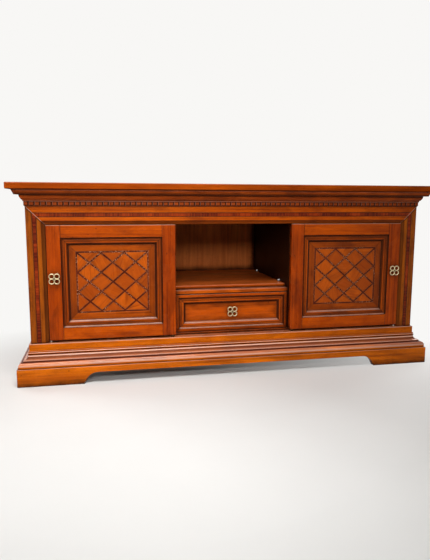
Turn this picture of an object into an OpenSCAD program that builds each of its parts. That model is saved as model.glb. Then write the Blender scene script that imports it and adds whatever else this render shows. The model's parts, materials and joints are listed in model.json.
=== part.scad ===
// TV cabinet with two marquetry doors, an open bay and a drawer, in mm.
// +Z is up, -Y is the front, and the origin is on the floor under the middle.

/* [Overall size] */
// Width of the top board
top_w = 1576; // [1400:2:1800]
// Depth of the top board
top_d = 600; // [500:2:700]
// Height from the floor to the top
total_h = 700; // [660:1:800]

/* [Top and cornice] */
// Thickness of the top board
top_t = 22; // [18:1:30]
// Rounding of the top board's edges
top_round = 3; // [1:0.5:5]
// How far the top board stands out past the carcass at the front and the ends
top_over = 54; // [48:1:70]
// How far the top board stands out past the back
top_over_back = 10; // [4:1:30]
// Height of the cornice under the top board
cornice_h = 58; // [54:1:64]
// How far the end cornices are let into the sides
cornice_let = 4; // [2:0.5:8]
// Height of the sloping fascia at the top of the cornice
fascia_h = 18; // [12:1:20]
// How far the fascia stands out at its top
fascia_out = 38; // [32:1:44]
// How far the fascia leans in from its top to its bottom
fascia_lean = 8; // [2:1:10]
// Height of the rounded moulding under the fascia
ovolo_h = 15; // [12:0.5:16]
// How far the rounded moulding under the fascia stands out at its top
ovolo_out = 16; // [14:0.5:20]
// How far the rounded moulding under the fascia stands out at its foot
ovolo_foot_out = 10; // [8:0.5:12]
// Radius of the rounded moulding under the fascia
ovolo_r = 20; // [14:1:40]
// Radius of the hollow under the rounded moulding
hollow_r = 4.5; // [3:0.5:5.5]
// How far the foot of that hollow stands out
hollow_out = 5.5; // [4:0.5:6]
// Height of the flat fillet under that hollow
hollow_foot = 2; // [1:0.5:3]
// Height of the dentil strip
dentil_h = 14; // [12:0.5:16]
// Height of the small step under the dentils
dentil_foot = 3; // [2:0.5:5]
// How far the small step under the dentils stands out
dentil_foot_out = 1.5; // [1:0.5:3]
// Thickness of the dentil strip
dentil_t = 3.5; // [3:0.5:5]
// Depth of the slots between the dentils
dentil_slot_d = 2.6; // [1:0.1:2.8]
// Width of one slot between the dentils
dentil_slot_w = 3.6; // [2:0.2:6]
// Spacing of the dentils
dentil_pitch = 19; // [15:0.5:30]

/* [Carcass] */
// Thickness of the sides
side_t = 20; // [16:1:24]
// Thickness of the two partitions
partition_t = 18; // [16:1:24]
// Thickness of the bottom board
bottom_t = 22; // [18:1:24]
// Thickness of the ceiling board
ceiling_t = 18; // [15:1:24]
// Height of the ceiling board's underside above the frame's opening
ceiling_rise = 4; // [2:1:10]
// Thickness of the back panel
back_t = 8; // [5:1:10]
// How far the back panel sits in from the back edges of the sides
back_inset = 2; // [1:1:6]
// Clear width of the open bay between the partitions
bay_w = 442; // [400:2:480]
// How far the partitions and the bottom board sit behind the face frame
inner_setback = 30; // [28:1:40]
// Diameter of the cable holes in the back
cable_d = 60; // [40:1:80]
// Height of the cable holes above the bottom board
cable_z = 70; // [60:1:110]
// Height of the two rails under the top board
top_rail_h = 22; // [18:1:30]
// Depth of the two rails under the top board
top_rail_d = 70; // [50:1:90]

/* [Face frame] */
// Width of the face frame
frame_w = 62; // [58:1:70]
// Thickness of the face frame
frame_t = 22; // [20:1:24]
// Width of the flat band outside the inlay
band_w = 21; // [18:0.5:24]
// Width of the inlaid strip with its strings
inlay_w = 15; // [10:0.5:18]
// Width of each dark string beside the inlay
string_w = 2.2; // [0.8:0.1:2.5]
// Thickness of the inlay
inlay_t = 2; // [1:0.5:4]
// Width of the hollow along the frame's inner edge
cove_w = 12; // [8:0.5:14]
// Depth of the hollow along the frame's inner edge
cove_d = 6; // [3:0.5:8]
// Radius of the hollow along the frame's inner edge
cove_r = 16; // [12:1:30]

/* [Base] */
// Height of the whole base
base_h = 142; // [138:1:160]
// Height of the bottom board's top face above the base
sill_h = 8; // [6:0.5:12]
// Height of the plinth boards
plinth_h = 63; // [56:1:80]
// Thickness of the plinth boards
plinth_t = 22; // [18:1:26]
// How far the plinth stands out past the carcass
plinth_over = 46; // [44:1:60]
// Height of the apron's edge above the floor
apron_z = 40; // [30:1:46]
// Length of each front bracket foot along the floor
foot_l = 225; // [120:1:300]
// Length of each side bracket foot along the floor
foot_side_l = 140; // [110:1:200]
// Angle between the floor and the inner edge of a bracket foot
foot_angle = 63; // [45:1:75]
// Radius of the curve from foot to apron
foot_r = 45; // [15:1:50]
// Height of the flat face under the lowest round moulding
torus_face = 9; // [5:1:12]
// How far the lowest round moulding sits in from the plinth
torus_set = 5; // [3:0.5:8]
// Radius of the lowest round moulding
torus_r = 12; // [9:0.5:13]
// Height of the ledge above the lowest round moulding
ledge_h = 6; // [3:0.5:8]
// How far the ledge sits in from the round moulding
ledge_set = 3.4; // [2:0.2:6]
// Radius of the large hollow
hollow_base_r = 14; // [10:0.5:15]
// Width of the flat lip at the foot of the large hollow
hollow_lip = 1.6; // [1:0.2:3]
// Radius of the bead above the large hollow
bead_r = 4.5; // [3:0.5:5]
// How far the bead's centre sits in from the hollow's top
bead_set = 3.5; // [2.5:0.5:4]
// Height of the step over the bead
quirk_h = 4; // [2:0.5:6]
// How far the step over the bead stands out
quirk_out = 3; // [1:0.5:4]

/* [Base frame] */
// Width of the rails under the bottom board
rail_w = 40; // [30:1:60]
// Height of the rails under the bottom board
rail_h = 40; // [30:1:60]
// Length and width of the block behind each foot
block_w = 60; // [40:1:70]

/* [Doors] */
// Gap beside and above the doors
door_gap = 1.5; // [1:0.1:3]
// Thickness of the doors
door_t = 20; // [19:0.5:21]
// How far the doors' faces sit behind the face frame
door_set = 2; // [1:0.5:4]
// Width of the door stiles
stile_w = 48; // [40:1:60]
// Width of the door rails
rail_face_w = 44; // [36:1:60]
// Rounding of the door's edge beside its pivots
hinge_round = 3; // [2:0.5:6]
// Distance of the pivots from the door's inner edge
pivot_in = 12; // [10:0.5:14]
// Diameter of the pivot pins
pivot_d = 6; // [4:0.5:7]
// Length of pivot pin inside the door, and inside the cabinet
pivot_depth = 14; // [10:1:20]
// Radial clearance of the pivot pins in the cabinet
pivot_clear = 0.05; // [0.03:0.01:0.08]
// Outer diameter of the washers that carry the doors
washer_d = 10; // [9:0.5:14]
// Gap between a washer and its door
washer_gap = 0.3; // [0.2:0.05:0.5]

/* [Fielded fronts] */
// Width of the moulding inside the frames of the doors and drawer
mould_w = 27; // [24:0.5:32]
// Depth of the panel behind the face
panel_set = 12; // [11.5:0.5:13]
// Thickness of the panels
panel_t = 6; // [4:0.5:6.5]
// Depth of the grooves that hold the panels
groove_d = 5; // [3:0.5:6]
// Radius of the moulding's outer hollow
mould_r1 = 7; // [5:0.5:8]
// Depth of the moulding's raised band behind the face
mould_band = 4.5; // [3:0.5:5]
// Radius of the moulding's inner hollow
mould_r2 = 8; // [6:0.5:8.5]
// Depth of the groove beside the raised band
mould_quirk = 1.5; // [0.5:0.5:2]
// Thickness of the moulding at its inner edge
mould_lip = 1; // [0.6:0.1:1.5]
// Width of the glue lines between jointed pieces
glue_gap = 0.1; // [0.05:0.05:0.2]

/* [Marquetry] */
// Plain margin between the moulding and the marquetry border
margin_w = 22; // [14:1:32]
// Width of the border strip
border_w = 5.5; // [4:0.5:8]
// Width of the lattice strips
lattice_w = 6; // [4:0.5:8]
// Number of diamonds across a door
lattice_n = 3; // [2:1:4]
// Thickness of the veneers
veneer_t = 1; // [0.6:0.1:1]

/* [Drawer] */
// Gap round the drawer front
drawer_gap = 2; // [1.5:0.1:3]
// Gap beside the drawer front
drawer_gap_side = 3; // [2.5:0.1:4]
// Height of the drawer front
drawer_h = 141; // [120:1:150]
// How far the drawer front sits behind the partitions
drawer_set = 4; // [2:0.5:10]
// Thickness of the drawer front
drawer_t = 20; // [19:0.5:24]
// Width of the frame round the drawer front
drawer_frame_w = 11; // [9:0.5:16]
// Room left behind the drawer's box
drawer_back_room = 72; // [60:1:150]
// Thickness of the drawer's sides
drawer_side_t = 12; // [10:1:15]
// Distance from the partition to the drawer's side
drawer_side_in = 13; // [10:1:20]
// Height of the drawer's sides
drawer_side_h = 118; // [80:1:124]
// Thickness of the drawer's bottom
drawer_floor_t = 6; // [4:1:8]
// Height of the drawer's bottom above the lower edge of its sides
drawer_floor_z = 8; // [6:1:14]
// Height of the runners under the drawer's sides
runner_h = 6; // [5:0.5:10]
// Running gap of the drawer on its runners and stops
run_gap = 0.3; // [0.2:0.05:0.5]
// Height of the guides beside the drawer
guide_h = 22; // [14:1:40]
// Width of the two stops behind the drawer
stop_w = 40; // [20:1:60]
// Length of the two stops behind the drawer
stop_l = 30; // [20:1:60]

/* [Shelves] */
// Thickness of the shelf in the bay
bay_shelf_t = 12; // [10:1:18]
// How far the bay shelf sits behind the partitions
bay_shelf_set = 40; // [20:1:80]
// Height of the rail over the drawer
shelf_rail_h = 14; // [12:1:20]
// Depth of the rail over the drawer
shelf_rail_d = 60; // [50:1:90]
// How far the rail over the drawer sits behind the partitions
shelf_rail_set = 8; // [4:1:16]
// Width of the cleats under the bay shelf
cleat_w = 12; // [10:1:20]
// Diameter of the steel pegs at the ends of the bay shelf
peg_d = 9; // [6:0.5:10]
// How far the steel pegs stand out
peg_out = 7; // [5:0.5:12]
// Distance of the steel pegs from the bay shelf's front and back edges
peg_in = 70; // [30:1:120]
// Depth by which the steel pegs sit in notches in the bay shelf's ends
peg_sink = 2; // [1:0.5:4]
// Gap round the steel pegs in those notches
peg_gap = 0.5; // [0.3:0.1:1]
// Thickness of the shelves behind the doors
side_shelf_t = 18; // [15:1:22]
// Height of the shelves behind the doors above the bottom board
side_shelf_z = 195; // [150:1:260]
// How far the shelves behind the doors sit back from the partitions' fronts
side_shelf_set = 24; // [10:1:60]
// Gap at each end of the shelves behind the doors
side_shelf_gap = 0.5; // [0.3:0.1:1]
// Diameter of the shelf pins
pin_d = 6; // [5:0.5:8]
// How far the shelf pins stand out
pin_out = 10; // [8:1:14]
// Distance of the shelf pins from the shelf's front and back edges
pin_in = 50; // [30:1:100]

/* [Fittings] */
// Distance between the rings of a knob across its middle
knob_ring_off = 17.4; // [15:0.2:19]
// Radius of each ring of a knob, to the middle of its wire
knob_ring_r = 8.6; // [8:0.1:9.4]
// Thickness of the knob's wire
knob_wire = 3.6; // [3:0.2:4.4]
// Height of the middle of the wire above the surface
knob_stand = 11; // [8:0.5:16]
// Diameter of the knob's stem
knob_stem_d = 5; // [4:0.5:6]
// Diameter of the knob's rose
knob_rose_d = 10; // [7:0.5:14]
// Thickness of the knob's rose
knob_rose_t = 2; // [1:0.5:3]
// Diameter of the boss where the rings meet
knob_boss_d = 8; // [7:0.5:10]
// Height of the door knobs above the floor
knob_z = 371; // [300:1:450]
// Diameter of the white rests under the doors' free corners
rest_d = 6; // [5:0.5:10]
// Distance of the white rests from the doors' outer edges
rest_in = 4; // [3:0.5:20]
// Width of the magnetic catches
catch_w = 40; // [30:1:50]
// Depth of the magnetic catches
catch_d = 24; // [16:1:30]
// Height of the magnetic catches
catch_h = 20; // [14:1:24]
// Gap between a catch and its closed door
catch_gap = 0.3; // [0.2:0.05:0.5]
// Thickness of the strike plates let into the doors
strike_t = 1.5; // [1:0.1:1.8]
// Height of the strike plates
strike_h = 10; // [6:1:11]
// Distance of the catches from the doors' outer edges
catch_in = 56; // [54:1:90]

/* [Hidden] */
$fn = 48;
// spare length of a cutting shape
over = 1;

// places that the pieces share
half_w = top_w / 2 - top_over;
face_y = -top_d / 2 + top_over;
rear_y = top_d / 2 - top_over_back;
top_z = total_h - top_t;
head_top = top_z - cornice_h;
opening_top = head_top - frame_w;
floor_z = base_h + sill_h;
under_floor = floor_z - bottom_t;
inner_w = half_w - side_t;
inner_y = face_y + inner_setback;
frame_back = face_y + frame_t;
panel_y = rear_y - back_inset - back_t;
ceiling_z = opening_top + ceiling_rise;
bay_half = bay_w / 2;
bay_out = bay_half + partition_t;
plinth_in = plinth_over - plinth_t;

// doors
door_y = face_y + door_set;
door_outer = half_w - frame_w - door_gap;
door_w = door_outer - bay_half;
door_h = opening_top - door_gap - floor_z;
pivot_x = bay_half + pivot_in;
pivot_y = door_y + door_t / 2;
catch_x = door_outer - catch_in - catch_w;
strike_z = ceiling_z - catch_h + over;

// marquetry: the veneered area inside the moulding, and the field inside its border
veneer_w = door_w - 2 * (stile_w + mould_w);
veneer_h = door_h - 2 * (rail_face_w + mould_w);
field_in = margin_w + border_w;
field_w = veneer_w - 2 * field_in;
field_h = veneer_h - 2 * field_in;

// drawer
drawer_w = bay_w - 2 * drawer_gap_side;
drawer_y = inner_y + drawer_set;
drawer_z = floor_z + drawer_gap;
box_y = drawer_y + drawer_t;
box_z = floor_z + runner_h + run_gap;
box_half = bay_half - drawer_side_in;
drawer_box_l = panel_y - drawer_back_room - box_y;

// shelves
shelf_rail_z = drawer_z + drawer_h + drawer_gap;
bay_shelf_z = shelf_rail_z + shelf_rail_h;
bay_shelf_y = inner_y + bay_shelf_set;
bay_shelf_top = bay_shelf_z + bay_shelf_t;
cleat_y = inner_y + shelf_rail_set + shelf_rail_d;
side_shelf_y = inner_y + side_shelf_set;
side_shelf_low = floor_z + side_shelf_z;

// levels and overhangs of the base moulding, from the plinth upward and inward
torus_z = plinth_h + torus_face;
torus_x = plinth_over - torus_set - torus_r;
ledge_x = torus_x - ledge_set;
hollow_low = torus_z + torus_r + ledge_h;
hollow_x = ledge_x - hollow_lip;
bead_x = hollow_x - hollow_base_r - bead_set;
bead_z = hollow_low + hollow_base_r + bead_r;

// levels and overhangs of the cornice
dentil_z = head_top + dentil_foot;
hollow_z = dentil_z + dentil_h + hollow_foot;
soffit_z = top_z - fascia_h;

wood = "#A9500F";
wood_light = "#C0641A";
wood_dark = "#8A3B0E";
wood_inside = "#7A4220";
string_dark = "#4A1C10";
metal = "#B9AB8C";
steel = "#C4C6C8";
white = "#EDEBE4";

// plain helpers

module rounded_rect(w, h, r) {
    translate([r, 0]) square([w - 2 * r, h]);
    translate([0, r]) square([w, h - 2 * r]);
    for (x = [r, w - r], y = [r, h - r]) translate([x, y]) circle(r);
}

// box between two corners
module box(low, high) translate(low) cube(high - low);

// a shape drawn in Y and Z, run along X about the middle
module along_x(length) rotate([90, 0, 90]) linear_extrude(length, center = true) children();

// a shape drawn in X and Z, run along Y
module along_y(y0, y1) translate([0, y1, 0]) rotate([90, 0, 0]) linear_extrude(y1 - y0) children();

module both_sides() {
    children();
    mirror([1, 0, 0]) children();
}

// mouldings that run round the front and the ends; x in a profile is the distance
// out from the carcass, and y is the height

module front_run(reach) intersection() {
    translate([0, face_y, 0]) mirror([0, 1, 0]) along_x(2 * (half_w + reach)) children();
    linear_extrude(total_h) polygon([
        [-half_w - reach, face_y - reach], [half_w + reach, face_y - reach],
        [half_w, face_y], [half_w, inner_y + over], [-half_w, inner_y + over],
        [-half_w, face_y]]);
}

module left_run(reach) intersection() {
    translate([-half_w, 0, 0]) mirror([1, 0, 0]) along_y(face_y - reach, rear_y) children();
    linear_extrude(total_h) polygon([
        [-half_w - reach, face_y - reach], [-half_w, face_y], [-half_w, inner_y],
        [-inner_w + over, inner_y], [-inner_w + over, rear_y + over],
        [-half_w - reach, rear_y + over]]);
}

module cornice_profile(back) {
    ovolo_z = soffit_z - ovolo_h;
    hollow_top = hollow_out + hollow_r;
    // the middle of the circle through the rounded moulding's top and foot
    chord = [ovolo_out - ovolo_foot_out, ovolo_h];
    rise = sqrt(pow(ovolo_r, 2) - pow(norm(chord) / 2, 2)) / norm(chord);
    translate([-back, head_top]) square([back, cornice_h]);
    translate([-back, head_top]) square([back + dentil_foot_out, dentil_foot]);
    translate([-back, hollow_z - hollow_foot])
        square([back + hollow_out, soffit_z - hollow_z + hollow_foot]);
    difference() {
        translate([0, hollow_z]) square([hollow_top, ovolo_z - hollow_z]);
        translate([hollow_top, hollow_z]) circle(hollow_r);
    }
    intersection() {
        translate([ovolo_out - chord[0] / 2 - chord[1] * rise,
            soffit_z - chord[1] / 2 + chord[0] * rise]) circle(ovolo_r);
        translate([0, ovolo_z]) square([ovolo_out + ovolo_r, ovolo_h]);
    }
    polygon([[-back, soffit_z], [fascia_out - fascia_lean, soffit_z], [fascia_out, top_z],
        [-back, top_z]]);
}

module base_profile(back) {
    translate([-back, plinth_h]) square([back + bead_x, base_h - plinth_h]);
    translate([0, bead_z + bead_r]) square([bead_x + quirk_out, quirk_h]);
    translate([bead_x, bead_z]) circle(bead_r);
    difference() {
        translate([0, hollow_low]) square([hollow_x, hollow_base_r]);
        translate([hollow_x, hollow_low + hollow_base_r]) circle(hollow_base_r);
    }
    translate([0, plinth_h]) square([ledge_x, hollow_low - plinth_h]);
    translate([0, plinth_h]) square([torus_x, torus_z + torus_r - plinth_h]);
    translate([0, plinth_h]) square([torus_x + torus_r, torus_face]);
    intersection() {
        translate([torus_x, torus_z]) circle(torus_r);
        translate([torus_x, torus_z]) square(torus_r);
    }
}

module dentil_profile() translate([0, dentil_z]) square([dentil_t, dentil_h]);

// top and cornice

module top_board() color(wood) intersection() {
    along_y(-top_d / 2, top_d / 2)
        translate([-top_w / 2, top_z]) rounded_rect(top_w, top_t, top_round);
    along_x(top_w) translate([-top_d / 2, top_z]) rounded_rect(top_d, top_t, top_round);
}

module cornice_front() color(wood_dark) front_run(top_over) cornice_profile(frame_t);
module cornice_left() color(wood_dark) left_run(top_over) cornice_profile(cornice_let);
module cornice_right() mirror([1, 0, 0]) cornice_left();

module dentil_slot() translate([-dentil_slot_w / 2, -over, dentil_z - over])
    cube([dentil_slot_w, dentil_slot_d + over, dentil_h + 2 * over]);

module dentil_left() difference() {
    left_run(top_over) dentil_profile();
    for (y = [face_y + dentil_pitch / 2 : dentil_pitch : rear_y])
        translate([-half_w - dentil_t, y, 0]) rotate(-90) dentil_slot();
}

module dentil_strips() color(wood) {
    slots = 2 * floor(half_w / dentil_pitch) + 1;
    difference() {
        front_run(top_over) dentil_profile();
        for (i = [0 : slots - 1])
            translate([(i - (slots - 1) / 2) * dentil_pitch, face_y - dentil_t, 0])
                dentil_slot();
    }
    both_sides() dentil_left();
}

// face frame; x in a profile runs inward from the frame's outer edge, y runs back

module frame_profile() {
    chord = norm([cove_w, cove_d]);
    rise = sqrt(pow(cove_r, 2) - pow(chord / 2, 2)) / chord;
    difference() {
        square([frame_w, frame_t]);
        translate([band_w, -over]) square([inlay_w, inlay_t + over]);
        translate([frame_w - cove_w / 2 + cove_d * rise, cove_d / 2 - cove_w * rise])
            circle(cove_r);
    }
}

// the three strips of the inlay: a string, the banding and a string
module inlay_profile() {
    translate([band_w, 0]) square([string_w, inlay_t]);
    translate([band_w + inlay_w - string_w, 0]) square([string_w, inlay_t]);
}

module banding_profile() translate([band_w + string_w, 0])
    square([inlay_w - 2 * string_w, inlay_t]);

module head_member() intersection() {
    translate([0, face_y, head_top]) rotate([0, 90, 0])
        linear_extrude(2 * half_w, center = true) children();
    along_y(face_y - over, frame_back + over) polygon([
        [-half_w - over, head_top + over], [half_w + over, head_top + over],
        [half_w - frame_w - over, opening_top - over],
        [-half_w + frame_w + over, opening_top - over]]);
}

module stile_member() intersection() {
    translate([-half_w, face_y, base_h]) linear_extrude(head_top - base_h) children();
    along_y(face_y - over, frame_back + over) polygon([
        [-half_w - over, head_top + over], [-half_w + frame_w + over, opening_top - over],
        [-half_w + frame_w + over, base_h - over], [-half_w - over, base_h - over]]);
}

module frame_head() color(wood_light) difference() {
    head_member() frame_profile();
    both_sides() pivot_hole(opening_top - over);
}

module frame_stile_left() color(wood_light) stile_member() frame_profile();
module frame_stile_right() mirror([1, 0, 0]) frame_stile_left();

module frame_inlay() {
    color(string_dark) {
        head_member() inlay_profile();
        both_sides() stile_member() inlay_profile();
    }
    color(wood_dark) {
        head_member() banding_profile();
        both_sides() stile_member() banding_profile();
    }
}

// carcass

module side_left() color(wood) difference() {
    box([-half_w, frame_back, base_h], [-inner_w, rear_y, top_z]);
    box([-half_w - over, inner_y, head_top],
        [-half_w + cornice_let, rear_y + over, top_z + over]);
}
module side_right() mirror([1, 0, 0]) side_left();

module partition_left() color(wood_inside)
    box([-bay_out, inner_y, floor_z], [-bay_half, panel_y, ceiling_z]);
module partition_right() mirror([1, 0, 0]) partition_left();

module bottom_board() color(wood)
    box([-inner_w, inner_y, under_floor], [inner_w, panel_y, floor_z]);

module ceiling_board() color(wood_inside)
    box([-inner_w, frame_back, ceiling_z], [inner_w, panel_y, ceiling_z + ceiling_t]);

module top_rails() color(wood_inside) {
    box([-inner_w, frame_back, top_z - top_rail_h],
        [inner_w, frame_back + top_rail_d, top_z]);
    box([-inner_w, panel_y - top_rail_d, top_z - top_rail_h], [inner_w, panel_y, top_z]);
}

module back_panel() color(wood_inside) difference() {
    box([-inner_w, panel_y, under_floor], [inner_w, panel_y + back_t, top_z]);
    both_sides() translate([-(bay_out + inner_w) / 2, panel_y - over, floor_z + cable_z])
        rotate([-90, 0, 0]) cylinder(h = back_t + 2 * over, d = cable_d);
}

// shelves

module bay_shelf() color(wood) difference() {
    box([-bay_half, bay_shelf_y, bay_shelf_z], [bay_half, panel_y, bay_shelf_top]);
    both_sides() for (y = [bay_shelf_y + peg_in, panel_y - peg_in])
        box([-bay_half - over, y - peg_d / 2 - peg_gap, bay_shelf_z - over],
            [-bay_half + peg_out + peg_gap, y + peg_d / 2 + peg_gap, bay_shelf_top + over]);
}

module shelf_rail() color(wood)
    box([-bay_half, inner_y + shelf_rail_set, shelf_rail_z], [bay_half, cleat_y, bay_shelf_z]);

module bay_cleats() color(wood_inside) both_sides()
    box([-bay_half, cleat_y, shelf_rail_z], [-bay_half + cleat_w, panel_y, bay_shelf_z]);

module side_shelf_left() color(wood_inside)
    box([-inner_w + side_shelf_gap, side_shelf_y, side_shelf_low],
        [-bay_out - side_shelf_gap, panel_y - side_shelf_gap, side_shelf_low + side_shelf_t]);
module side_shelf_right() mirror([1, 0, 0]) side_shelf_left();

module shelf_pin(place, d, length) translate(place) rotate([0, 90, 0]) cylinder(h = length, d = d);

module shelf_pins() color(steel) both_sides() {
    for (y = [bay_shelf_y + peg_in, panel_y - peg_in])
        shelf_pin([-bay_half, y, bay_shelf_top + peg_d / 2 - peg_sink], peg_d, peg_out);
    for (y = [side_shelf_y + pin_in, panel_y - pin_in], x = [-inner_w, -bay_out - pin_out])
        shelf_pin([x, y, side_shelf_low - pin_d / 2], pin_d, pin_out);
}

// base

// the opening between two bracket feet, half of its length along the floor given
module foot_gap(half) {
    corner = half - apron_z / tan(foot_angle);
    tangent = foot_r * tan(foot_angle / 2);
    spread = over / tan(foot_angle);
    difference() {
        polygon([[-half - spread, -over], [half + spread, -over], [corner, apron_z],
            [-corner, apron_z]]);
        for (side = [-1, 1]) scale([side, 1]) difference() {
            polygon([[corner - tangent, apron_z], [corner, apron_z + over],
                [corner + over, apron_z],
                [corner + tangent * cos(foot_angle), apron_z - tangent * sin(foot_angle)],
                [corner - tangent, apron_z - foot_r]]);
            translate([corner - tangent, apron_z - foot_r]) circle(foot_r);
        }
    }
}

module base_mould_front() color(wood_light) difference() {
    front_run(plinth_over) base_profile(inner_setback);
    both_sides() pivot_hole(base_h - pivot_depth);
}

module base_mould_left() color(wood_light) left_run(plinth_over) base_profile(side_t);
module base_mould_right() mirror([1, 0, 0]) base_mould_left();

module plinth_profile() translate([plinth_in, 0]) square([plinth_t, plinth_h]);

module plinth_front() color(wood_light) difference() {
    front_run(plinth_over) plinth_profile();
    along_y(face_y - plinth_over - over, face_y) foot_gap(half_w + plinth_over - foot_l);
}

module plinth_left() color(wood_light) {
    y0 = face_y - plinth_over + foot_side_l;
    y1 = rear_y - foot_side_l;
    difference() {
        left_run(plinth_over) plinth_profile();
        translate([-half_w - plinth_over / 2, (y0 + y1) / 2, 0])
            along_x(plinth_over + 2 * over) foot_gap((y1 - y0) / 2);
    }
}

module plinth_right() mirror([1, 0, 0]) plinth_left();

module plinth_back() color(wood_inside) difference() {
    box([-half_w - plinth_in, rear_y - plinth_t, 0], [half_w + plinth_in, rear_y, plinth_h]);
    along_y(rear_y - plinth_t - over, rear_y + over) foot_gap(half_w + plinth_over - foot_l);
}

module base_rails() color(wood_inside) {
    box([-inner_w, inner_y, under_floor - rail_h], [inner_w, inner_y + rail_w, under_floor]);
    box([-inner_w, rear_y - rail_w, plinth_h], [inner_w, rear_y, under_floor]);
    both_sides() translate([-(bay_half + bay_out) / 2, 0, 0])
        box([-rail_w / 2, inner_y + rail_w, under_floor - rail_h],
            [rail_w / 2, rear_y - rail_w, under_floor]);
}

module foot_blocks() color(wood_inside) both_sides() {
    x = -half_w - plinth_in;
    box([x, face_y - plinth_in, 0], [x + block_w, face_y - plinth_in + block_w, plinth_h]);
    box([x, rear_y - plinth_t - block_w, 0], [x + block_w, rear_y - plinth_t, plinth_h]);
}

// what carries and holds the doors

module pivot_hole(z) translate([-pivot_x, pivot_y, z])
    cylinder(h = pivot_depth + over, d = pivot_d + 2 * pivot_clear);

module pivot_washers() color(metal) both_sides() difference() {
    translate([-pivot_x, pivot_y, base_h])
        cylinder(h = sill_h - washer_gap, d = washer_d);
    translate([-pivot_x, pivot_y, base_h - over])
        cylinder(h = sill_h + 2 * over, d = pivot_d + 2 * pivot_clear);
}

module door_rests() color(white) both_sides()
    translate([-door_outer + rest_in, pivot_y, base_h])
        cylinder(h = sill_h - washer_gap, d = rest_d);

module door_catches() color(steel) both_sides()
    box([-catch_x - catch_w, door_y + door_t + catch_gap, ceiling_z - catch_h],
        [-catch_x, door_y + door_t + catch_gap + catch_d, ceiling_z]);

// framed and panelled fronts, drawn with the lower left corner of the face at the origin;
// w, h and t are the front's sizes, s the width of its stiles and r that of its rails

// the stile at x = 0, with its grooved edge facing +x
module front_stile(h, t, s) difference() {
    cube([s, t, h]);
    translate([s - groove_d, panel_set, -over])
        cube([groove_d + over, panel_t, h + 2 * over]);
}

// the rail at z = 0, with a tongue at each end and its grooved edge facing up
module front_rail(w, t, s, r) difference() {
    union() {
        translate([s + glue_gap, 0, 0]) cube([w - 2 * s - 2 * glue_gap, t, r]);
        translate([s - groove_d + glue_gap, panel_set + glue_gap, 0])
            cube([w - 2 * (s - groove_d + glue_gap), panel_t - 2 * glue_gap, r]);
    }
    translate([s - groove_d - over, panel_set, r - groove_d])
        cube([w - 2 * s + 2 * groove_d + 2 * over, panel_t, groove_d + over]);
}

// the moulding's section; x runs inward from the stile and y runs back from the face
module mould_profile() difference() {
    square([mould_w, panel_set]);
    intersection() {
        translate([mould_r1, mould_band + mould_quirk - mould_r1]) circle(mould_r1);
        translate([-over, -over]) square([mould_r1 + over, panel_set + over]);
    }
    translate([mould_r1, -over]) square([mould_w - mould_r1 + over, mould_band + over]);
    translate([mould_w, panel_set - mould_lip - mould_r2]) circle(mould_r2);
}

// four mitred lengths of moulding round an opening of w by h
module front_moulding(w, h) {
    for (side = [0, 1]) translate([side * w, 0, 0]) mirror([side, 0, 0]) intersection() {
        linear_extrude(h) mould_profile();
        along_y(-over, panel_set + over)
            polygon([[0, 0], [mould_w, mould_w], [mould_w, h - mould_w], [0, h]]);
    }
    for (end = [0, 1]) translate([w / 2, 0, end * h]) mirror([0, 0, end]) intersection() {
        rotate([0, -90, 0]) linear_extrude(w, center = true) mould_profile();
        along_y(-over, panel_set + over)
            polygon([[-w / 2 + glue_gap, 0], [w / 2 - glue_gap, 0],
                [w / 2 - mould_w - glue_gap, mould_w],
                [-w / 2 + mould_w + glue_gap, mould_w]]);
    }
}

module front_panel(w, h, s, r) translate([s - groove_d, panel_set, r - groove_d])
    cube([w - 2 * s + 2 * groove_d, panel_t, h - 2 * r + 2 * groove_d]);

// open knob of four rings, standing out toward -y from the origin
module knob() {
    ring_at = knob_ring_off / 2;
    rotate([90, 0, 0]) {
        cylinder(h = knob_rose_t, d = knob_rose_d);
        cylinder(h = knob_stand, d = knob_stem_d);
        translate([0, 0, knob_stand - knob_wire / 2]) cylinder(h = knob_wire, d = knob_boss_d);
        for (x = [-ring_at, ring_at], y = [-ring_at, ring_at])
            translate([x, y, knob_stand]) rotate_extrude()
                translate([knob_ring_r, 0]) circle(d = knob_wire, $fn = 24);
    }
}

// left door, with its outer edge at x = 0 and its pivots beside x = door_w

module at_door() translate([-door_outer, door_y, floor_z]) children();

module door_left_stiles() color(wood) at_door() {
    front_stile(door_h, door_t, stile_w);
    difference() {
        translate([door_w, 0, 0]) mirror([1, 0, 0]) intersection() {
            front_stile(door_h, door_t, stile_w);
            linear_extrude(door_h) {
                rounded_rect(stile_w, door_t, hinge_round);
                translate([stile_w / 2, 0]) square([stile_w / 2, door_t]);
            }
        }
        for (z = [-over, door_h - pivot_depth])
            translate([door_w - pivot_in, door_t / 2, z])
                cylinder(h = pivot_depth + over, d = pivot_d);
    }
}

module door_left_rails() color(wood) difference() {
    at_door() {
        front_rail(door_w, door_t, stile_w, rail_face_w);
        translate([0, 0, door_h]) mirror([0, 0, 1])
            front_rail(door_w, door_t, stile_w, rail_face_w);
    }
    strike(over);
}

module door_left_moulding() color(wood_light) at_door() translate([stile_w, 0, rail_face_w])
    front_moulding(door_w - 2 * stile_w, door_h - 2 * rail_face_w);

module door_left_panel() color(wood) at_door()
    front_panel(door_w, door_h, stile_w, rail_face_w);

// strike plate let into the back of the top rail; extra is spare depth for its recess
module strike(extra) translate([-catch_x - catch_w, door_y + door_t - strike_t, strike_z])
    cube([catch_w, strike_t + extra, strike_h]);

// two pivot pins and the strike plate
module door_left_fittings() color(steel) {
    translate([-pivot_x, pivot_y, base_h - pivot_depth + over])
        cylinder(h = sill_h + 2 * pivot_depth - over, d = pivot_d);
    translate([-pivot_x, pivot_y, floor_z + door_h - pivot_depth])
        cylinder(h = door_gap + 2 * pivot_depth - over, d = pivot_d);
    strike(0);
}

module door_left_knob() color(metal)
    translate([-door_outer + stile_w / 2, door_y, knob_z]) knob();

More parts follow.
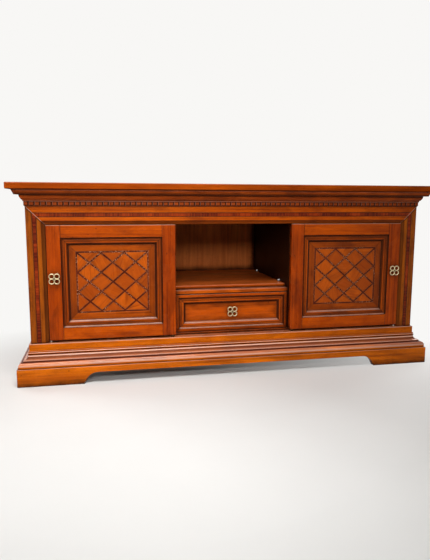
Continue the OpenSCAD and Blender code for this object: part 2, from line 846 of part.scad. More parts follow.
// marquetry, drawn in X and Z with the inner corner of the moulding at the origin

module at_veneer() at_door()
    translate([stile_w + mould_w, panel_set, rail_face_w + mould_w])
        rotate([90, 0, 0]) linear_extrude(veneer_t) children();

// lattice strips parallel to both diagonals of the field, with one through each third,
// that run on to the middle of the border
module lattice_strips() {
    slope = atan(field_h / field_w);
    long = norm([field_w, field_h]);
    intersection() {
        translate([-border_w / 2, -border_w / 2])
            square([field_w + border_w, field_h + border_w]);
        for (k = [1 - lattice_n : lattice_n - 1], flip = [0, 1])
            translate([0, flip * field_h]) mirror([0, flip])
                translate([k * field_w / lattice_n, 0]) rotate(slope)
                    translate([-long, -lattice_w / 2]) square([3 * long, lattice_w]);
    }
}

module door_left_lattice() color(string_dark) at_veneer() {
    difference() {
        translate([margin_w, margin_w])
            square([veneer_w - 2 * margin_w, veneer_h - 2 * margin_w]);
        translate([field_in, field_in]) square([field_w, field_h]);
    }
    translate([field_in, field_in]) lattice_strips();
}

// the plain margin, and the diamonds between the lattice strips
module door_left_veneers() {
    color(wood) at_veneer() difference() {
        square([veneer_w, veneer_h]);
        translate([margin_w, margin_w])
            square([veneer_w - 2 * margin_w, veneer_h - 2 * margin_w]);
    }
    color(wood_light) at_veneer() translate([field_in, field_in]) difference() {
        square([field_w, field_h]);
        lattice_strips();
    }
}

module door_right_stiles() mirror([1, 0, 0]) door_left_stiles();
module door_right_rails() mirror([1, 0, 0]) door_left_rails();
module door_right_moulding() mirror([1, 0, 0]) door_left_moulding();
module door_right_panel() mirror([1, 0, 0]) door_left_panel();
module door_right_veneers() mirror([1, 0, 0]) door_left_veneers();
module door_right_lattice() mirror([1, 0, 0]) door_left_lattice();
module door_right_knob() mirror([1, 0, 0]) door_left_knob();
module door_right_fittings() mirror([1, 0, 0]) door_left_fittings();

// drawer

module at_drawer() translate([-drawer_w / 2, drawer_y, drawer_z]) children();

module drawer_frame() color(wood) at_drawer() {
    for (side = [0, 1]) translate([side * drawer_w, 0, 0]) mirror([side, 0, 0])
        front_stile(drawer_h, drawer_t, drawer_frame_w);
    for (end = [0, 1]) translate([0, 0, end * drawer_h]) mirror([0, 0, end])
        front_rail(drawer_w, drawer_t, drawer_frame_w, drawer_frame_w);
}

module drawer_moulding() color(wood_light) at_drawer()
    translate([drawer_frame_w, 0, drawer_frame_w])
        front_moulding(drawer_w - 2 * drawer_frame_w, drawer_h - 2 * drawer_frame_w);

module drawer_panel() color(wood) at_drawer()
    front_panel(drawer_w, drawer_h, drawer_frame_w, drawer_frame_w);

module drawer_knob() color(metal)
    translate([0, drawer_y + panel_set, drawer_z + drawer_h / 2]) knob();

module drawer_bottom() color(wood_inside)
    box([-box_half + drawer_side_t - groove_d, box_y + drawer_side_t - groove_d,
            box_z + drawer_floor_z],
        [box_half - drawer_side_t + groove_d, box_y + drawer_box_l - drawer_side_t + groove_d,
            box_z + drawer_floor_z + drawer_floor_t]);

module drawer_box() color(wood_inside) difference() {
    union() {
        both_sides() box([-box_half, box_y, box_z],
            [-box_half + drawer_side_t, box_y + drawer_box_l, box_z + drawer_side_h]);
        for (y = [box_y, box_y + drawer_box_l - drawer_side_t])
            box([-box_half + drawer_side_t + glue_gap, y, box_z],
                [box_half - drawer_side_t - glue_gap, y + drawer_side_t, box_z + drawer_side_h]);
    }
    drawer_bottom();
}

// an L of runner and side guide under each side of the drawer
module drawer_runners() color(wood_inside) both_sides()
    along_y(box_y + run_gap, panel_y) translate([-bay_half, floor_z]) {
        square([drawer_side_in + drawer_side_t, runner_h]);
        square([drawer_side_in - run_gap, guide_h]);
    }

module drawer_stops() color(wood_inside) both_sides()
    box([-box_half + drawer_side_t + run_gap, box_y + drawer_box_l + run_gap, floor_z],
        [-box_half + drawer_side_t + stop_w, box_y + drawer_box_l + stop_l, floor_z + guide_h]);

top_board();
cornice_front();
cornice_left();
cornice_right();
dentil_strips();
frame_head();
frame_stile_left();
frame_stile_right();
frame_inlay();
side_left();
side_right();
partition_left();
partition_right();
bottom_board();
ceiling_board();
top_rails();
back_panel();
bay_shelf();
shelf_rail();
bay_cleats();
side_shelf_left();
side_shelf_right();
shelf_pins();
base_mould_front();
base_mould_left();
base_mould_right();
plinth_front();
plinth_left();
plinth_right();
plinth_back();
base_rails();
foot_blocks();
pivot_washers();
door_rests();
door_catches();
drawer_runners();
drawer_stops();
door_left_stiles();
door_left_rails();
door_left_moulding();
door_left_panel();
door_left_veneers();
door_left_lattice();
door_left_knob();
door_left_fittings();
door_right_stiles();
door_right_rails();
door_right_moulding();
door_right_panel();
door_right_veneers();
door_right_lattice();
door_right_knob();
door_right_fittings();
drawer_frame();
drawer_moulding();
drawer_panel();
drawer_knob();
drawer_box();
drawer_bottom();
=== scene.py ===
import json
import math

import bmesh
import bpy
from mathutils import Matrix, Vector


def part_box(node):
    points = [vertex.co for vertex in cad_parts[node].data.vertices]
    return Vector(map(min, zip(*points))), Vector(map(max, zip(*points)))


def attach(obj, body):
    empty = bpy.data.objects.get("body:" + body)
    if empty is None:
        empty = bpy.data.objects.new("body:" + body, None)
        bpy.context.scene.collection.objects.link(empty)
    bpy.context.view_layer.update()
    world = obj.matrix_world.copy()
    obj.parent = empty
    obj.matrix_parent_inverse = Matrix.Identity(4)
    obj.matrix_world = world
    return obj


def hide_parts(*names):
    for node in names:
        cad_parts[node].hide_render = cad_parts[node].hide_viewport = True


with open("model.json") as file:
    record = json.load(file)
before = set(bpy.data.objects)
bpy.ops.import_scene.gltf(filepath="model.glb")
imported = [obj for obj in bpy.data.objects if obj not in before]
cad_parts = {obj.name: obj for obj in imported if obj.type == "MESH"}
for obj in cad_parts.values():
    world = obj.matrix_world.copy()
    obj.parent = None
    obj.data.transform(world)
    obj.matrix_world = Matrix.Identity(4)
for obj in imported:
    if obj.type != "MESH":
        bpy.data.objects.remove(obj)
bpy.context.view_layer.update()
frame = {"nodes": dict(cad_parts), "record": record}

bodyOf = {node: body for body, nodes in frame["record"]["behaviour"]["bodies"].items()
          for node in nodes}
print("frame loaded:", len(frame["nodes"]), "nodes")


# colours are written as they look, 0 to 255, and turned into Blender's linear ones
def paint(red, green, blue):
    def linear(value):
        value = value / 255
        return value / 12.92 if value <= 0.04045 else ((value + 0.055) / 1.055) ** 2.4
    return (linear(red), linear(green), linear(blue), 1.0)


def newObject(name, data):
    thing = bpy.data.objects.new(name, data)
    bpy.context.scene.collection.objects.link(thing)
    return thing


# small helpers for node trees; a value is another node's output, a number or a colour

def addNode(tree, kind, **settings):
    node = tree.nodes.new(kind)
    for name, value in settings.items():
        setattr(node, name, value)
    return node


def feed(tree, socket, value):
    if isinstance(value, bpy.types.NodeSocket):
        tree.links.new(value, socket)
    else:
        socket.default_value = value


def mathNode(tree, operation, *values, clamp=False):
    node = addNode(tree, "ShaderNodeMath", operation=operation, use_clamp=clamp)
    for socket, value in zip(node.inputs, values):
        feed(tree, socket, value)
    return node.outputs[0]


def times(tree, a, b, clamp=False):
    return mathNode(tree, "MULTIPLY", a, b, clamp=clamp)


def apart(tree, a, b):
    return mathNode(tree, "ABSOLUTE", mathNode(tree, "SUBTRACT", a, b))


def vectorNode(tree, operation, *values):
    node = addNode(tree, "ShaderNodeVectorMath", operation=operation)
    for socket, value in zip(node.inputs, values):
        feed(tree, socket, value)
    return node.outputs["Value" if operation in ("DOT_PRODUCT", "LENGTH") else "Vector"]


def mixColour(tree, amount, a, b):
    node = addNode(tree, "ShaderNodeMix", data_type="RGBA")
    for socket, value in zip((0, 6, 7), (amount, a, b)):
        feed(tree, node.inputs[socket], value)
    return node.outputs[2]


def mixNumber(tree, amount, a, b):
    node = addNode(tree, "ShaderNodeMix", data_type="FLOAT")
    for socket, value in zip((0, 2, 3), (amount, a, b)):
        feed(tree, node.inputs[socket], value)
    return node.outputs[0]


def mapRange(tree, value, fromLow, fromHigh, toLow=0.0, toHigh=1.0):
    node = addNode(tree, "ShaderNodeMapRange", clamp=True)
    feed(tree, node.inputs["Value"], value)
    for label, limit in (("From Min", fromLow), ("From Max", fromHigh),
                         ("To Min", toLow), ("To Max", toHigh)):
        node.inputs[label].default_value = limit
    return node.outputs["Result"]


def noise(tree, place, scale, detail=2.0, roughness=0.5, distortion=0.0):
    node = addNode(tree, "ShaderNodeTexNoise")
    feed(tree, node.inputs["Vector"], place)
    for label, value in (("Scale", scale), ("Detail", detail), ("Roughness", roughness),
                         ("Distortion", distortion)):
        node.inputs[label].default_value = value
    return node.outputs["Fac"]


def stretched(tree, place, factors):
    return vectorNode(tree, "MULTIPLY", place, factors)


def split(tree, place):
    parts = addNode(tree, "ShaderNodeSeparateXYZ")
    feed(tree, parts.inputs[0], place)
    return parts.outputs["X"], parts.outputs["Y"], parts.outputs["Z"]


def joined(tree, x, y, z):
    whole = addNode(tree, "ShaderNodeCombineXYZ")
    for socket, value in zip(whole.inputs, (x, y, z)):
        feed(tree, socket, value)
    return whole.outputs[0]


def colourParts(tree, source):
    parts = addNode(tree, "ShaderNodeSeparateColor")
    feed(tree, parts.inputs[0], source)
    return parts.outputs


def ramp(tree, value, stops):
    # amounts at given values, straight between them
    low, high = stops[0][0], stops[-1][0]
    node = addNode(tree, "ShaderNodeValToRGB")
    feed(tree, node.inputs[0], mapRange(tree, value, low, high))
    elements = node.color_ramp.elements
    while len(elements) < len(stops):
        elements.new(0.5)
    for element, (place, amount) in zip(elements, stops):
        element.position = (place - low) / (high - low)
        element.color = (amount, amount, amount, 1.0)
    return node.outputs["Color"]


def objectPlace(tree):
    return addNode(tree, "ShaderNodeTexCoord").outputs["Object"]


def relief(tree, shader, height, normal, strength, depth):
    bump = addNode(tree, "ShaderNodeBump")
    bump.inputs["Strength"].default_value = strength
    bump.inputs["Distance"].default_value = depth
    feed(tree, bump.inputs["Height"], height)
    feed(tree, bump.inputs["Normal"], normal)
    feed(tree, shader.inputs["Normal"], bump.outputs[0])


def toOutput(tree, shader, kind="ShaderNodeOutputMaterial"):
    feed(tree, addNode(tree, kind).inputs[0], shader)


def newGroup(name, inputs, outputs):
    group = bpy.data.node_groups.new(name, "ShaderNodeTree")
    for label, kind, default in inputs:
        socket = group.interface.new_socket(label, in_out="INPUT", socket_type=kind)
        if default is not None:
            socket.default_value = default
    for label, kind in outputs:
        group.interface.new_socket(label, in_out="OUTPUT", socket_type=kind)
    return group, addNode(group, "NodeGroupInput"), addNode(group, "NodeGroupOutput")


def placeGroup(tree, group, **values):
    node = addNode(tree, "ShaderNodeGroup", node_tree=group)
    for label, value in values.items():
        feed(tree, node.inputs[label], value)
    return node.outputs


# shared effects

number, colour, vector = "NodeSocketFloat", "NodeSocketColor", "NodeSocketVector"

# each layer of the grain: its stretch along and across, its noise, and the span it shows in
woodLayers = {
    "cloud": {"stretch": (4.0, 11.0, 11.0), "detail": 4.0, "roughness": 0.6,
              "distortion": 0.4, "span": (0.32, 0.68)},
    "figure": {"stretch": (3.4, 62.0, 62.0), "detail": 5.0, "roughness": 0.62,
               "distortion": 0.7, "span": (0.34, 0.66)},
    "fibre": {"stretch": (24.0, 620.0, 620.0)},
    "pore": {"stretch": (70.0, 1100.0, 1100.0), "detail": 1.0,
             "span": (0.62, 0.74, 0.0, 0.45)},
    "streak": {"stretch": (2.4, 170.0, 170.0), "detail": 3.0, "roughness": 0.55,
               "distortion": 0.3, "span": (0.52, 0.66)},
    "patch": {"stretch": (7.8, 16.9, 16.9), "detail": 3.0, "distortion": 0.6,
              "span": (0.47, 0.64)},
}
grainLook = {
    "shift": (1.7, 3.1, 2.3),  # how far a seed moves the pattern
    "tone": 0.84,
    "fibre": 0.26,
    "lift": 0.05,
    "fibreHeight": 0.5,
    "poreHeight": -1.6,
}
flecks = {"stretch": (38.0, 62.0, 62.0), "size": (0.55, 1.0, 0.0, 0.13), "edge": 0.03,
          "amount": 0.7}


def makeGrainGroup():
    # stained cherry: cloudy tone, long figure, fine fibres, short pores and black flecks.
    # Along is the place with the grain running along its x
    group, start, end = newGroup("stainedGrain", [
        ("Along", vector, None), ("Light", colour, None), ("Dark", colour, None),
        ("Pores", colour, None), ("Figure", number, 0.5), ("Seed", number, 0.0),
        ("Streaks", number, 0.5), ("Patches", number, 0.5)],
        [("Color", colour), ("Height", number)])
    given = start.outputs
    shift = joined(group, *[times(group, given["Seed"], step) for step in grainLook["shift"]])
    place = vectorNode(group, "ADD", given["Along"], shift)

    def layer(name):
        look = dict(woodLayers[name])
        span = look.pop("span", None)
        amount = noise(group, stretched(group, place, look.pop("stretch")), 1.0, **look)
        return mapRange(group, amount, *span) if span else amount

    fibre = layer("fibre")
    tone = mixNumber(group, given["Figure"], layer("cloud"), layer("figure"))
    tone = mathNode(group, "MULTIPLY_ADD", tone, grainLook["tone"],
                    times(group, fibre, grainLook["fibre"]))
    tone = mathNode(group, "SUBTRACT", tone, grainLook["lift"], clamp=True)
    stain = mixColour(group, tone, given["Light"], given["Dark"])
    # dark drawn-out streaks and soft darker patches where the stain went in deeper
    deeper = mathNode(group, "ADD", times(group, layer("streak"), given["Streaks"]),
                      times(group, layer("patch"), given["Patches"]), clamp=True)
    deepest = mixColour(group, 0.5, given["Dark"], given["Pores"])
    stain = mixColour(group, deeper, stain, deepest)
    # flecks are small dark dots of filler and worm holes, some drawn out along the grain
    cell = addNode(group, "ShaderNodeTexVoronoi", feature="F1")
    feed(group, cell.inputs["Vector"], stretched(group, place, flecks["stretch"]))
    cell.inputs["Scale"].default_value = 1.0
    size = mapRange(group, colourParts(group, cell.outputs["Color"])[0], *flecks["size"])
    fleck = mathNode(group, "SUBTRACT", size, cell.outputs["Distance"])
    fleck = times(group, mapRange(group, fleck, 0.0, flecks["edge"]), flecks["amount"])
    dark = mathNode(group, "MAXIMUM", layer("pore"), fleck)
    feed(group, end.inputs["Color"], mixColour(group, dark, stain, given["Pores"]))
    height = mathNode(group, "MULTIPLY_ADD", fibre, grainLook["fibreHeight"],
                      times(group, dark, grainLook["poreHeight"]))
    feed(group, end.inputs["Height"], height)
    return group


glazeShadeLook = {
    "patchSize": 30.0,
    "wander": (0.3, 0.7, 0.75, 1.25),
    "glazeShadeSpan": (0.03, 0.42),
    "bendSpan": (0.99, 0.84),
    "rubHighlightSpan": (0.36, 0.6),
}


def makeGlazeShadeGroup():
    # glaze and painted shade in the corners and hollows, from ambient occlusion, and rubbed
    # arrises with a painted highlight
    group, start, end = newGroup("glazeShadeAndRubHighlight", [
        ("Reach", number, 0.012), ("Round", number, 0.0015)],
        [("GlazeShade", number), ("RubHighlight", number), ("Normal", vector)])
    shade = addNode(group, "ShaderNodeAmbientOcclusion", samples=8)
    feed(group, shade.inputs["Distance"], start.outputs["Reach"])
    glazeShade = mathNode(group, "SUBTRACT", 1.0, shade.outputs["AO"], clamp=True)
    plain = addNode(group, "ShaderNodeNewGeometry")
    patchy = noise(group, plain.outputs["Position"], glazeShadeLook["patchSize"], 3.0)
    # the edge of the glaze and painted shade wanders, like glaze wiped by hand
    glazeShade = times(group, glazeShade, mapRange(group, patchy, *glazeShadeLook["wander"]))
    glazeShade = mapRange(group, glazeShade, *glazeShadeLook["glazeShadeSpan"])
    rounded = addNode(group, "ShaderNodeBevel", samples=4)
    feed(group, rounded.inputs["Radius"], start.outputs["Round"])
    bend = vectorNode(group, "DOT_PRODUCT", rounded.outputs[0], plain.outputs["Normal"])
    # arrises are painted pale where the rounded normal bends: rubbed wear and a painted
    # highlight
    rubHighlight = times(group, mapRange(group, bend, *glazeShadeLook["bendSpan"]),
                mapRange(group, patchy, *glazeShadeLook["rubHighlightSpan"]), clamp=True)
    rubHighlight = times(group, rubHighlight, mathNode(group, "SUBTRACT", 1.0, glazeShade, clamp=True))
    feed(group, end.inputs["GlazeShade"], glazeShade)
    feed(group, end.inputs["RubHighlight"], rubHighlight)
    feed(group, end.inputs["Normal"], rounded.outputs[0])
    return group


mitreLine = (0.0026, 0.0006)  # where a mitre's dark line starts and where it is full


def makeMitreGroup():
    # parts a mitred ring into its upright and its level lengths, seen in X and Z
    group, start, end = newGroup("mitredRing", [
        ("Place", vector, None), ("Middle", vector, None), ("Half", vector, None)],
        [("Upright", number), ("Joint", number), ("Inset", number)])
    offset = vectorNode(group, "SUBTRACT", start.outputs["Place"], start.outputs["Middle"])
    offset = vectorNode(group, "ABSOLUTE", offset)
    offset = vectorNode(group, "SUBTRACT", start.outputs["Half"], offset)
    acrossX, _, acrossZ = split(group, offset)
    lead = mathNode(group, "SUBTRACT", acrossZ, acrossX)
    feed(group, end.inputs["Upright"], mathNode(group, "GREATER_THAN", lead, 0.0))
    near = mathNode(group, "ABSOLUTE", lead)
    feed(group, end.inputs["Joint"], mapRange(group, near, *mitreLine))
    feed(group, end.inputs["Inset"], mathNode(group, "MINIMUM", acrossX, acrossZ))
    return group


def makeRowGroup():
    # counts equal lengths along a line: each one's draw, and the distance from its middle
    group, start, end = newGroup("evenRow", [
        ("Run", number, 0.0), ("Pitch", number, 0.019)],
        [("Draw", number), ("Aside", number)])
    count = mathNode(group, "DIVIDE", start.outputs["Run"], start.outputs["Pitch"])
    draw = addNode(group, "ShaderNodeTexWhiteNoise", noise_dimensions="1D")
    feed(group, draw.inputs["W"], mathNode(group, "FLOOR", count))
    feed(group, end.inputs["Draw"], draw.outputs["Value"])
    aside = mathNode(group, "SUBTRACT", mathNode(group, "FRACT", count), 0.5)
    aside = times(group, aside, start.outputs["Pitch"])
    feed(group, end.inputs["Aside"], aside)
    return group


grainGroup = makeGrainGroup()
glazeShadeGroup = makeGlazeShadeGroup()
mitreGroup = makeMitreGroup()
rowGroup = makeRowGroup()
print("shared effects made")


# finishes

# one entry per stain: light, dark, how much the figure shows, and any weaker streaks
stains = {
    "top": {"light": (190, 83, 8), "dark": (126, 44, 6), "figure": 0.5,
            "streaks": 0.35, "patches": 0.25},
    "case": {"light": (170, 76, 14), "dark": (100, 38, 10), "figure": 0.5,
             "streaks": 0.3, "patches": 0.25},
    # the cornice is stained lighter than the top board: painted light, making up for the shade
    # under the top board
    "cornice": {"light": (226, 97, 17), "dark": (146, 53, 11), "figure": 0.5},
    "band": {"light": (222, 100, 4), "dark": (158, 58, 4), "figure": 0.55},
    "frameStile": {"light": (192, 98, 12), "dark": (118, 48, 8), "figure": 0.6},
    "door": {"light": (203, 86, 2), "dark": (142, 47, 2), "figure": 0.5,
             "streaks": 0.4, "patches": 0.4},
    "drawer": {"light": (207, 89, 8), "dark": (148, 54, 6), "figure": 0.5,
               "streaks": 0.4, "patches": 0.3},
    "stile": {"light": (188, 73, 3), "dark": (118, 36, 3), "figure": 0.5},
    "mould": {"light": (190, 80, 6), "dark": (114, 38, 6), "figure": 0.4},
    # a lighter copy of the moulding stain for the drawer: painted highlight
    "drawerMould": {"light": (214, 94, 12), "dark": (134, 48, 8), "figure": 0.4},
    "margin": {"light": (182, 79, 8), "dark": (116, 42, 6), "figure": 0.45},
    "string": {"light": (100, 36, 16), "dark": (64, 20, 10), "figure": 0.3},
    "inside": {"light": (120, 60, 26), "dark": (72, 34, 14), "figure": 0.5},
    # the partitions are stained near black as painted shade inside the bay, and the back lighter
    # as painted light on it
    "partition": {"light": (46, 21, 8), "dark": (26, 11, 4), "figure": 0.5},
    "back": {"light": (214, 118, 58), "dark": (156, 80, 38), "figure": 0.6,
             "streaks": 0.15, "patches": 0.15},
    "shelf": {"light": (222, 106, 38), "dark": (160, 72, 26), "figure": 0.5},
    "base": {"light": (228, 116, 8), "dark": (152, 63, 6), "figure": 0.55,
             "streaks": 0.35, "patches": 0.3},
    "plinth": {"light": (232, 118, 8), "dark": (150, 64, 6), "figure": 0.65,
               "streaks": 0.45, "patches": 0.35},
    "hidden": {"light": (150, 98, 58), "dark": (108, 66, 38), "figure": 0.5},
}
poreColour = paint(40, 14, 6)
# the pale of the rubbed arrises, partly wear and partly a painted highlight
rubHighlightColour = paint(226, 140, 84)

lacquer = {
    "roughness": 0.27,
    "uneven": 0.16,  # how much the roughness varies from patch to patch
    "patchSize": 9.0,
    "glazeRoughness": 0.25,
    "specular": 0.18,
    "tint": (1.0, 0.56, 0.26, 1.0),  # amber lacquer warms what it reflects
    "coat": 0.05,
    "wax": 0.5,
    "waxSpan": (0.0, 0.7, 1.0, 0.1),  # the glaze takes less wax
    "coatRoughness": 0.12,
    # the next entries set the AO glaze, which is partly painted shade in corners, the rubbed
    # arrises with their painted highlight, the pale painted sheen on upward slopes and the
    # painted shade under the mouldings
    "reach": 0.03,
    "glazeShade": 0.95,
    "arris": 0.0014,
    "glazeShadeColour": (40, 12, 5),
    "rubHighlight": 0.4,
    # a pale sheen painted on upward slopes, standing in for the reflection of the light above
    "paintedSheen": 0.12,
    "sheenColour": (216, 168, 144),
    "sheenSlope": (0.25, 0.7),
    "under": 0.5,
    "underSlope": (-0.15, -0.75),
    "bump": 0.00008,
    "bumpStrength": 0.4,
}


def alongGrain(tree, place, direction):
    # turns a place so that the grain runs along x
    if direction == "x":
        return place
    x, y, z = split(tree, place)
    return joined(tree, y, z, x) if direction == "y" else joined(tree, z, x, y)


def blankMaterial(name):
    material = bpy.data.materials.new(name)
    material.use_nodes = True
    material.node_tree.nodes.clear()
    return material, material.node_tree


def slopeOf(tree):
    # one for a face that looks up, none for an upright one
    return split(tree, addNode(tree, "ShaderNodeNewGeometry").outputs["Normal"])[2]


def lacquered(material, stainColour, height, darker=None, paler=None, **changes):
    # the shader that all lacquered wood shares, round a stain made before
    look = {**lacquer, **changes}
    tree = material.node_tree
    shadeAndRub = placeGroup(tree, glazeShadeGroup, Reach=look["reach"], Round=look["arris"])
    # AO glaze: painted shade in corners and hollows, partly glaze kept there
    glazeShade = times(tree, shadeAndRub["GlazeShade"], look["glazeShade"], clamp=True)
    if darker is not None:
        glazeShade = mathNode(tree, "MAXIMUM", glazeShade, darker)
    slope = slopeOf(tree)
    # painted shade on faces that look down, under the mouldings
    under = mapRange(tree, slope, *look["underSlope"], 0.0, look["under"])
    glazeShade = mathNode(tree, "MAXIMUM", glazeShade, under)
    # rubbed arrises painted pale: wear and a painted highlight
    rubHighlight = times(tree, shadeAndRub["RubHighlight"], look["rubHighlight"])
    worn = mixColour(tree, rubHighlight, stainColour, rubHighlightColour)
    # upward slopes are painted with a pale sheen, a painted highlight, and keep the most wax
    facingUp = mapRange(tree, slope, *look["sheenSlope"])
    paintedSheen = times(tree, facingUp, look["paintedSheen"])
    if paler is not None:
        paintedSheen = mathNode(tree, "MAXIMUM", paintedSheen, paler)
    worn = mixColour(tree, paintedSheen, worn, paint(*look["sheenColour"]))
    worn = mixColour(tree, glazeShade, worn, paint(*look["glazeShadeColour"]))
    shader = addNode(tree, "ShaderNodeBsdfPrincipled")
    feed(tree, shader.inputs["Base Color"], worn)
    # the glaze dried duller than the polish, and the painted shade is made as dull
    dull = mathNode(tree, "MULTIPLY_ADD", glazeShade, look["glazeRoughness"],
                    look["roughness"] - look["uneven"] / 2)
    patch = noise(tree, objectPlace(tree), look["patchSize"])
    feed(tree, shader.inputs["Roughness"],
         mathNode(tree, "MULTIPLY_ADD", patch, look["uneven"], dull))
    shader.inputs["Specular IOR Level"].default_value = look["specular"]
    shader.inputs["Specular Tint"].default_value = look["tint"]
    if look["coat"]:
        wax = mixNumber(tree, facingUp, look["coat"], look["wax"])
        feed(tree, shader.inputs["Coat Weight"],
             times(tree, wax, mapRange(tree, glazeShade, *look["waxSpan"])))
        shader.inputs["Coat Roughness"].default_value = look["coatRoughness"]
    relief(tree, shader, height, shadeAndRub["Normal"], look["bumpStrength"], look["bump"])
    toOutput(tree, shader.outputs[0])
    return material


def stainOn(tree, stain, direction, seed, place):
    look = stains[stain]
    return placeGroup(tree, grainGroup, Along=alongGrain(tree, place, direction),
                      Light=paint(*look["light"]), Dark=paint(*look["dark"]),
                      Pores=poreColour, Figure=look["figure"], Seed=seed,
                      Streaks=look.get("streaks", 0.5), Patches=look.get("patches", 0.5))


def boardWood(name, stain, direction, seed, darken=None, lighten=None, **changes):
    # darken and lighten are functions that give a mask from the tree and the place
    material, tree = blankMaterial(name)
    place = objectPlace(tree)
    grain = stainOn(tree, stain, direction, seed, place)
    darker = darken(tree, place) if darken else None
    paler = lighten(tree, place) if lighten else None
    return lacquered(material, grain["Color"], grain["Height"], darker, paler,
                     **changes)


def ringAt(tree, place, ringBox):
    low, high = ringBox
    return placeGroup(tree, mitreGroup, Place=place, Middle=tuple((low + high) / 2),
                      Half=tuple((high - low) / 2))


ringLook = {
    "seedStep": 3.7,  # from the level lengths to the upright ones
    "joint": 0.8,
    "lessShadeUp": (0.1, 0.5, 1.0, 0.15),
    # the rings take a strong painted sheen on upward slopes
    "finish": {"paintedSheen": 0.68, "wax": 0.9},
}


def ringWood(name, stain, seed, ringBox, levels):
    # wood of a mitred ring, with the grain along each length, a line at each mitre and
    # painted shade by the inset from the ring's outer edge, kept off where it faces up
    material, tree = blankMaterial(name)
    place = objectPlace(tree)
    ring = ringAt(tree, place, ringBox)
    level = stainOn(tree, stain, "x", seed, place)
    upright = stainOn(tree, stain, "z", seed + ringLook["seedStep"], place)
    stained = mixColour(tree, ring["Upright"], level["Color"],
                        upright["Color"])
    lessShadeUp = mapRange(tree, slopeOf(tree), *ringLook["lessShadeUp"])
    darker = times(tree, ramp(tree, ring["Inset"], levels), lessShadeUp)
    joint = times(tree, ring["Joint"], ringLook["joint"])
    darker = mathNode(tree, "MAXIMUM", darker, joint)
    return lacquered(material, stained, level["Height"], darker, **ringLook["finish"])


# width of the planed arris on each piece of the show wood, in metres
arrises = {
    "cornice_front": 0.0005, "cornice_left": 0.0005, "cornice_right": 0.0005,
    "dentil_strips": 0.0004,
    "frame_head": 0.0006, "frame_stile_left": 0.0006, "frame_stile_right": 0.0006,
    "side_left": 0.001, "side_right": 0.001,
    "partition_left": 0.001, "partition_right": 0.001,
    "bottom_board": 0.0012, "bay_shelf": 0.0012, "shelf_rail": 0.0012,
    "base_mould_front": 0.0006, "base_mould_left": 0.0006, "base_mould_right": 0.0006,
    "plinth_front": 0.0014, "plinth_left": 0.0014, "plinth_right": 0.0014,
    "door_left_stiles": 0.0009, "door_right_stiles": 0.0009,
    "door_left_rails": 0.0009, "door_right_rails": 0.0009,
    "door_left_moulding": 0.0005, "door_right_moulding": 0.0005,
    "drawer_frame": 0.0009, "drawer_moulding": 0.0005,
}
planing = {"weld": 0.00001, "flatAngle": 0.5, "sharpAngle": 32, "segments": 2}


def planedCopy(node, width):
    # a copy of the node where it is, with its sharp edges planed off
    mesh = frame["nodes"][node].data.copy()
    work = bmesh.new()
    work.from_mesh(mesh)
    bmesh.ops.remove_doubles(work, verts=work.verts, dist=planing["weld"])
    bmesh.ops.dissolve_limit(work, angle_limit=math.radians(planing["flatAngle"]),
                             verts=work.verts, edges=work.edges)
    for face in work.faces:
        face.smooth = True
    work.to_mesh(mesh)
    work.free()
    # the loaded normals no longer fit the merged faces
    mesh.attributes.remove(mesh.attributes["custom_normal"])
    rough = newObject(node + "_rough", mesh)
    plane = rough.modifiers.new("arris", "BEVEL")
    plane.width = width
    plane.segments = planing["segments"]
    plane.limit_method = "ANGLE"
    plane.angle_limit = math.radians(planing["sharpAngle"])
    plane.use_clamp_overlap = False
    plane.harden_normals = True
    ready = rough.evaluated_get(bpy.context.evaluated_depsgraph_get())
    piece = newObject(node + "_planed", bpy.data.meshes.new_from_object(ready))
    bpy.data.objects.remove(rough)
    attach(piece, bodyOf[node])
    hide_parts(node)
    return piece


shown = dict(frame["nodes"])
for node, width in arrises.items():
    shown[node] = planedCopy(node, width)
print("arrises planed on", len(arrises), "pieces")


def wear(node, material):
    # the CAD node takes the material too, under the planed copy that stands for it
    for thing in (frame["nodes"][node], shown[node]):
        thing.data.materials.clear()
        thing.data.materials.append(material)


# boards

